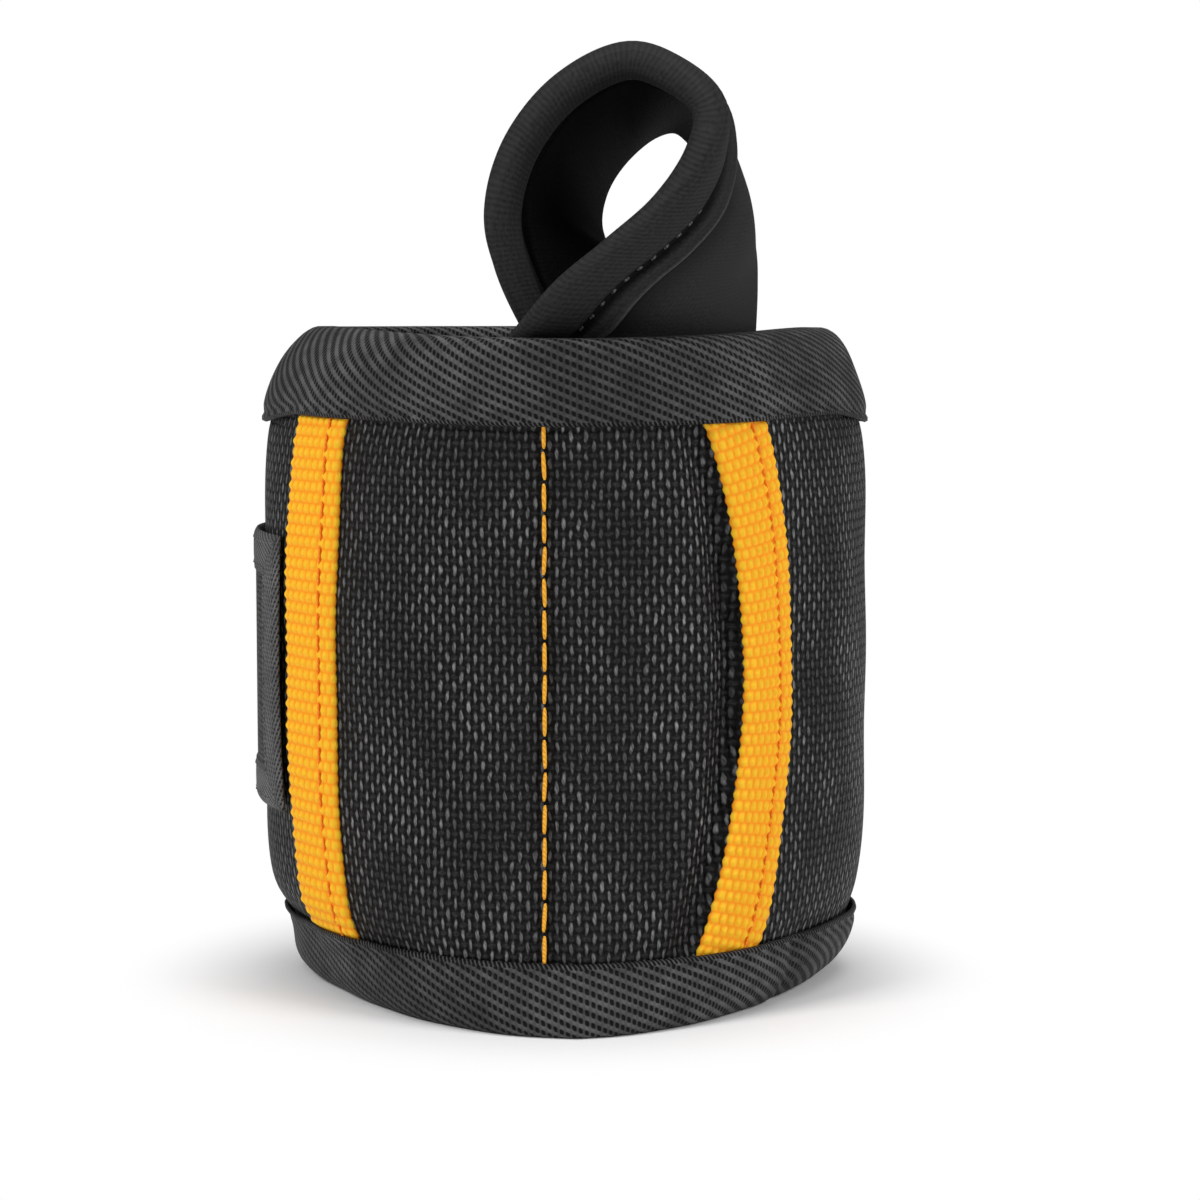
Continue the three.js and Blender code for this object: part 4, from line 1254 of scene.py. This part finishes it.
# thumb loop: a hemmed strip folded over, its two ends sewn behind the front rim
loop = {
    "width": 35 * mm,
    "height": 34 * mm,
    "depth": 25.8 * mm,
    "middle": (9.7 * mm, -30.75 * mm),
    "turn": math.radians(28.4),
    "sewnHeight": 84 * mm,
    "sewnFront": -5.2 * mm,
    "sewnBack": -8.4 * mm,
    "sewnAngle": 0.45 * math.pi,
    "steps": 150,
    "middleColumns": 20,
    "rootRun": 0.12,
    "rootSwell": 5 * mm,
    "frontRootFade": (0.04, 0.4),
    "backRootFade": (0.7, 0.95),
    "frontSwell": 6 * mm,
    "frontSwellFrom": 0.02,
    "frontSwellRun": 0.5,
    "face": 1.2 * mm,
    "hemCentre": 0.85 * mm,
    "hemHalf": 2.15 * mm,
    "tubeEnd": 2.6 * mm,
    "hemStitch": hemLines["stitch"] * mm,
    "hemWidth": hemLines["lip"] * mm,
    "lip": 2.5 * mm,
    "lipStep": 0.2 * mm,
    "groove": 1.25 * mm,
    "grooveWidth": 0.6 * mm,
    "lipBead": 0.3 * mm,
    "beadInside": (0.6 * mm, 0.4 * mm),
    "beadOutside": (0.5 * mm, 0.35 * mm),
    "hemUnder": 1.15,
    "hemInside": 4 * mm,
    "insideStep": 0.3 * mm,
    # where the painted shade inside the loop starts, past the hem's inside
    "insideShadeFrom": 0.4 * mm,
    "hemGap": 0.9 * mm,
    "gapPast": (0.6 * mm, 0.45 * mm),
    "hemFade": (-3.5 * mm, 3 * mm),
    "bendBelow": 1 * mm,
    "bendAbove": 5 * mm,
    "stitchesFrom": 1 * mm,
    "stitchOut": 0.12 * mm,
    "nearSewn": (-0.69, -0.38),
    "farSewn": (0.49, 0.47),
    "near": [
        (-.45, .21, .2), (-.3, .36, .36), (-.12, .47, .53), (.015, .52, .71), (.075, .48, .85),
        (.02, .32, .98), (-.08, .12, 1.05), (-.27, -.06, .95), (-.44, -.18, .73), (-.53, -.22, .46),
        (-.51, -.21, .25),
    ],
    "far": [
        (.52, -.06, .18), (.565, -.24, .35), (.55, -.42, .54), (.51, -.57, .7), (.46, -.71, .79),
        (.4, -.83, .77), (.31, -.95, .66), (.24, -1, .52), (.21, -.97, .37), (.23, -.74, .21),
        (.34, -.42, .14),
    ],
    "stitches": stitchSettings(2.2 * mm, 0.8 * mm, 0.22 * mm, 0.1, "blackThread"),
}
loopAlong = np.array([math.cos(loop["turn"]), math.sin(loop["turn"]), 0])
loopOut = np.array([math.sin(loop["turn"]), -math.cos(loop["turn"]), 0])
loopOrigin = np.array([loop["middle"][0] + shiftX, loop["middle"][1] + shiftY, band["height"]])


def loopPoint(along, out, rise):
    return loopOrigin + along * loopAlong + out * loopOut + np.array([0, 0, rise])


def sewnArc(along, offset):
    # on the band's inner face, under a place of the loop's base
    x = loopPoint(along * loop["width"], 0, 0)[0]
    table = arcTable(loop["sewnHeight"])
    front = np.abs(arcAngles) < loop["sewnAngle"]
    row = bandRow(table[front], loop["sewnHeight"], offset)
    return np.interp(x, row[:, 0], table[front])


def sewnRow(end, offset, parts):
    # the sewn line follows the rim from the near edge to the far one
    near, far = sewnArc(loop["nearSewn"][end], offset), sewnArc(loop["farSewn"][end], offset)
    return bandRow(near + parts * (far - near), loop["sewnHeight"], offset)


def loopEdge(shape, part):
    inner = [loopPoint(a * loop["width"], o * loop["depth"], r * loop["height"]) for a, o, r in shape]
    first = sewnRow(0, loop["sewnFront"], np.array([part]))[0]
    last = sewnRow(1, loop["sewnBack"], np.array([part]))[0]
    return splinePath([first, *inner, last], loop["steps"] + 1)


nearEdge = loopEdge(loop["near"], 0.0)
farEdge = loopEdge(loop["far"], 1.0)
middleLine = (nearEdge + farEdge) / 2
stripOut = np.cross(np.gradient(middleLine, axis=0), farEdge - nearEdge)
stripOut /= np.linalg.norm(stripOut, axis=1)[:, None]
stripOut *= np.sign(stripOut[loop["steps"] // 2, 2])
along = np.linspace(0, 1, loop["steps"] + 1)
# both ends follow the curve of the rim, the front run swells out
swell = 1 - smoothStep(along, *loop["frontRootFade"]) - smoothStep(along, *loop["backRootFade"])
frontPart = np.clip((along - loop["frontSwellFrom"]) / loop["frontSwellRun"], 0, 1)
swell = loop["rootSwell"] * swell + loop["frontSwell"] * np.sin(math.pi * frontPart) ** 2


def stripFace(parts):
    # points of the strip's middle face, rows along it and columns across
    line = nearEdge[:, None] * (1 - parts)[..., None] + farEdge[:, None] * parts[..., None]
    line = line + stripOut[:, None] * (swell[:, None] * 4 * parts * (1 - parts))[..., None]
    first = (1 - smoothStep(along, 0, loop["rootRun"]))[:, None, None]
    last = smoothStep(along, 1 - loop["rootRun"], 1)[:, None, None]
    line = line + first * (sewnRow(0, loop["sewnFront"], parts[0]) - line[0])
    return line + last * (sewnRow(1, loop["sewnBack"], parts[-1]) - line[-1])


def stripPoints(parts, offsets):
    face = stripFace(parts)
    across = stripFace(parts + 0.01) - stripFace(parts - 0.01)
    normal = np.cross(np.gradient(face, axis=0), across)
    normal /= np.linalg.norm(normal, axis=-1)[..., None]
    facing = np.einsum("ijk,ik->ij", normal, stripOut)
    normal *= np.sign(facing)[..., None]
    return face + normal * offsets[..., None]


def roundRim(d, half):
    return np.sqrt(np.clip(half ** 2 - np.clip(half - d, 0, None) ** 2, 0, None))


def hemProfile(nearDistance, farDistance, fade):
    # outer and inner offset: a thick turned hem along the near edge, the far edge is plain
    rim = roundRim(nearDistance, loop["hemHalf"])
    fromLip = nearDistance - loop["hemWidth"]
    fromInside = nearDistance - loop["hemInside"]
    tube = 1 - smoothStep(nearDistance, loop["tubeEnd"], loop["hemStitch"])
    lip = 1 - smoothStep(fromLip, -loop["lipStep"], loop["lipStep"])
    under = 1 - smoothStep(fromInside, -loop["insideStep"], loop["insideStep"])
    plain = roundRim(np.minimum(nearDistance, farDistance), loop["face"])
    turned = loop["lip"] + (loop["hemCentre"] + rim - loop["lip"]) * tube
    outer = plain + (turned - plain) * lip * fade
    outer = outer - loop["groove"] * bump(nearDistance, loop["hemStitch"], loop["grooveWidth"]) * fade
    place, width = loop["beadInside"]
    outer = outer + loop["lipBead"] * bump(fromLip, -place, width) * fade
    place, width = loop["beadOutside"]
    outer = outer - loop["lipBead"] * bump(fromLip, place, width) * fade
    inner = -plain + (loop["hemCentre"] - loop["hemUnder"] * rim + plain) * under * fade
    place, width = loop["gapPast"]
    inner = inner + loop["hemGap"] * bump(fromInside, place, width) * fade
    return outer, inner


# columns across the strip, closest at the lip
edgeSteps = mm * np.concatenate([
    np.linspace(0, 2.6, 9),
    np.linspace(2.9, 8.5, 21),
    np.linspace(8.65, 11.2, 18),
])
stripWidths = np.linalg.norm(farEdge - nearEdge, axis=1)[:, None]
nearParts = edgeSteps[None, :] / stripWidths
farParts = 1 - nearParts[:, ::-1]
middleParts = np.linspace(0, 1, loop["middleColumns"] + 2)[None, 1:-1]
spanParts = nearParts[:, -1:] + (farParts[:, :1] - nearParts[:, -1:]) * middleParts
parts = np.concatenate([nearParts, spanParts, farParts], axis=1)
fade = smoothStep(nearEdge[:, 2:3] - band["height"], *loop["hemFade"])
outerOffset, innerOffset = hemProfile(parts * stripWidths, (1 - parts) * stripWidths, fade)
alongRun = np.broadcast_to(runLength(middleLine)[:, None], parts.shape)
loopPiece = closedSheet("thumb_loop", stripPoints(parts, outerOffset), stripPoints(parts, innerOffset),
                        np.stack([alongRun, parts * stripWidths], axis=-1), looks["neoprene"])
# painted shade: the inner face past the hem gets a darker copy of the neoprene, painted as the shade inside
# the loop
loopPiece.data.materials.append(looks["loopShadedInside"])
cells = (parts.shape[0] - 1) * (parts.shape[1] - 1)
paintedShadeFaces = np.zeros(len(loopPiece.data.polygons), np.int32)
firstShadedColumn = np.searchsorted(edgeSteps, loop["hemInside"] + loop["insideShadeFrom"])
paintedShadeFaces[cells:2 * cells] = np.arange(cells) % (parts.shape[1] - 1) >= firstShadedColumn
loopPiece.data.polygons.foreach_set("material_index", paintedShadeFaces)


def bendLoop(piece):
    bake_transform(piece)


bendLoop(loopPiece)
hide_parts("thumb_loop_sleeve", "thumb_loop_near_hem", "thumb_loop_far_hem", "thumb_loop_root")
stitchParts = loop["hemStitch"] / stripWidths
stitchLift = loop["face"] + (loop["lip"] - loop["groove"] - loop["face"]) * fade + loop["stitchOut"]
hemRow = stripPoints(stitchParts, stitchLift)[:, 0]
hemRow = hemRow[hemRow[:, 2] > band["height"] + loop["stitchesFrom"]]
hemStitches = stitchRows("thumb_loop_stitches", [hemRow], loop["stitches"])
bendLoop(hemStitches)
print("thumb loop made")


# magnet bars and their padding keep their solids
for name, node in frame["nodes"].items():
    if name.startswith("magnet_carrier"):
        node.data.materials.clear()
        node.data.materials.append(looks["felt"])
    elif name.startswith("magnet_"):
        node.data.materials.clear()
        node.data.materials.append(looks["magnet"])


# floor, light and camera
stage = {
    "floorSize": 6.0,
    "floorColour": (0.9, 0.9, 0.9, 1),
    "fadeFrom": 0.036,
    "fadeTo": 0.062,
    "fill": 0.18,
    "lightAim": (0, 0, 0.05),
    "lights": [
        {"name": "keyLight", "at": (-0.75, -0.55, 0.8), "size": 0.45, "power": 7.5},
        {"name": "sideLight", "at": (0.85, -0.4, 0.6), "size": 0.45, "power": 5.5},
        {"name": "topLight", "at": (0.0, 0.1, 1.0), "size": 0.9, "power": 5},
    ],
    "camera": {
        "at": (0.00621, -0.52424, 0.11207),
        "tilt": math.radians(83.496),
        "lens": 115.0,
        "sensor": 36,
    },
}


def makeFloor():
    half = stage["floorSize"] / 2
    mesh = bpy.data.meshes.new("floor")
    corners = [(-half, -half, 0), (half, -half, 0), (half, half, 0), (-half, half, 0)]
    mesh.from_pydata(corners, [], [(0, 1, 2, 3)])
    floor = addObject("floor", mesh)
    material = bpy.data.materials.new("floor")
    material.use_nodes = True
    tree = material.node_tree
    tree.nodes.clear()
    output = tree.nodes.new("ShaderNodeOutputMaterial")
    paint = tree.nodes.new("ShaderNodeBsdfDiffuse")
    paint.inputs["Color"].default_value = stage["floorColour"]
    white = tree.nodes.new("ShaderNodeEmission")
    mix = tree.nodes.new("ShaderNodeMixShader")
    place = tree.nodes.new("ShaderNodeTexCoord")
    length = tree.nodes.new("ShaderNodeVectorMath")
    length.operation = "LENGTH"
    tree.links.new(place.outputs["Object"], length.inputs[0])
    far = spread(tree, length.outputs["Value"], stage["fadeFrom"], stage["fadeTo"])
    seen = tree.nodes.new("ShaderNodeLightPath")
    tree.links.new(times(tree, far, seen.outputs["Is Camera Ray"]), mix.inputs[0])
    tree.links.new(paint.outputs[0], mix.inputs[1])
    tree.links.new(white.outputs[0], mix.inputs[2])
    tree.links.new(mix.outputs[0], output.inputs["Surface"])
    mesh.materials.append(material)


def makeLights():
    world = bpy.data.worlds.new("studio")
    scene.world = world
    world.use_nodes = True
    tree = world.node_tree
    tree.nodes.clear()
    output = tree.nodes.new("ShaderNodeOutputWorld")
    back = tree.nodes.new("ShaderNodeBackground")
    seen = tree.nodes.new("ShaderNodeLightPath")
    strength = spread(tree, seen.outputs["Is Camera Ray"], 0, 1, stage["fill"], 1)
    tree.links.new(strength, back.inputs["Strength"])
    tree.links.new(back.outputs[0], output.inputs["Surface"])
    back.inputs["Color"].default_value = (1, 1, 1, 1)
    for settings in stage["lights"]:
        data = bpy.data.lights.new(settings["name"], "AREA")
        data.energy = settings["power"]
        data.size = settings["size"]
        light = addObject(settings["name"], data)
        light.location = settings["at"]
        aim = np.array(stage["lightAim"]) - np.array(settings["at"])
        yaw = math.atan2(aim[1], aim[0])
        pitch = math.atan2(math.hypot(aim[0], aim[1]), -aim[2])
        light.rotation_euler = (pitch, 0, yaw - math.pi / 2)


makeFloor()
makeLights()
cameraData = bpy.data.cameras.new("camera")
cameraData.lens = stage["camera"]["lens"]
cameraData.sensor_width = stage["camera"]["sensor"]
camera = addObject("camera", cameraData)
camera.location = stage["camera"]["at"]
camera.rotation_euler = (stage["camera"]["tilt"], 0, 0)
scene.camera = camera
scene.view_settings.view_transform = "Standard"
print("stage made")
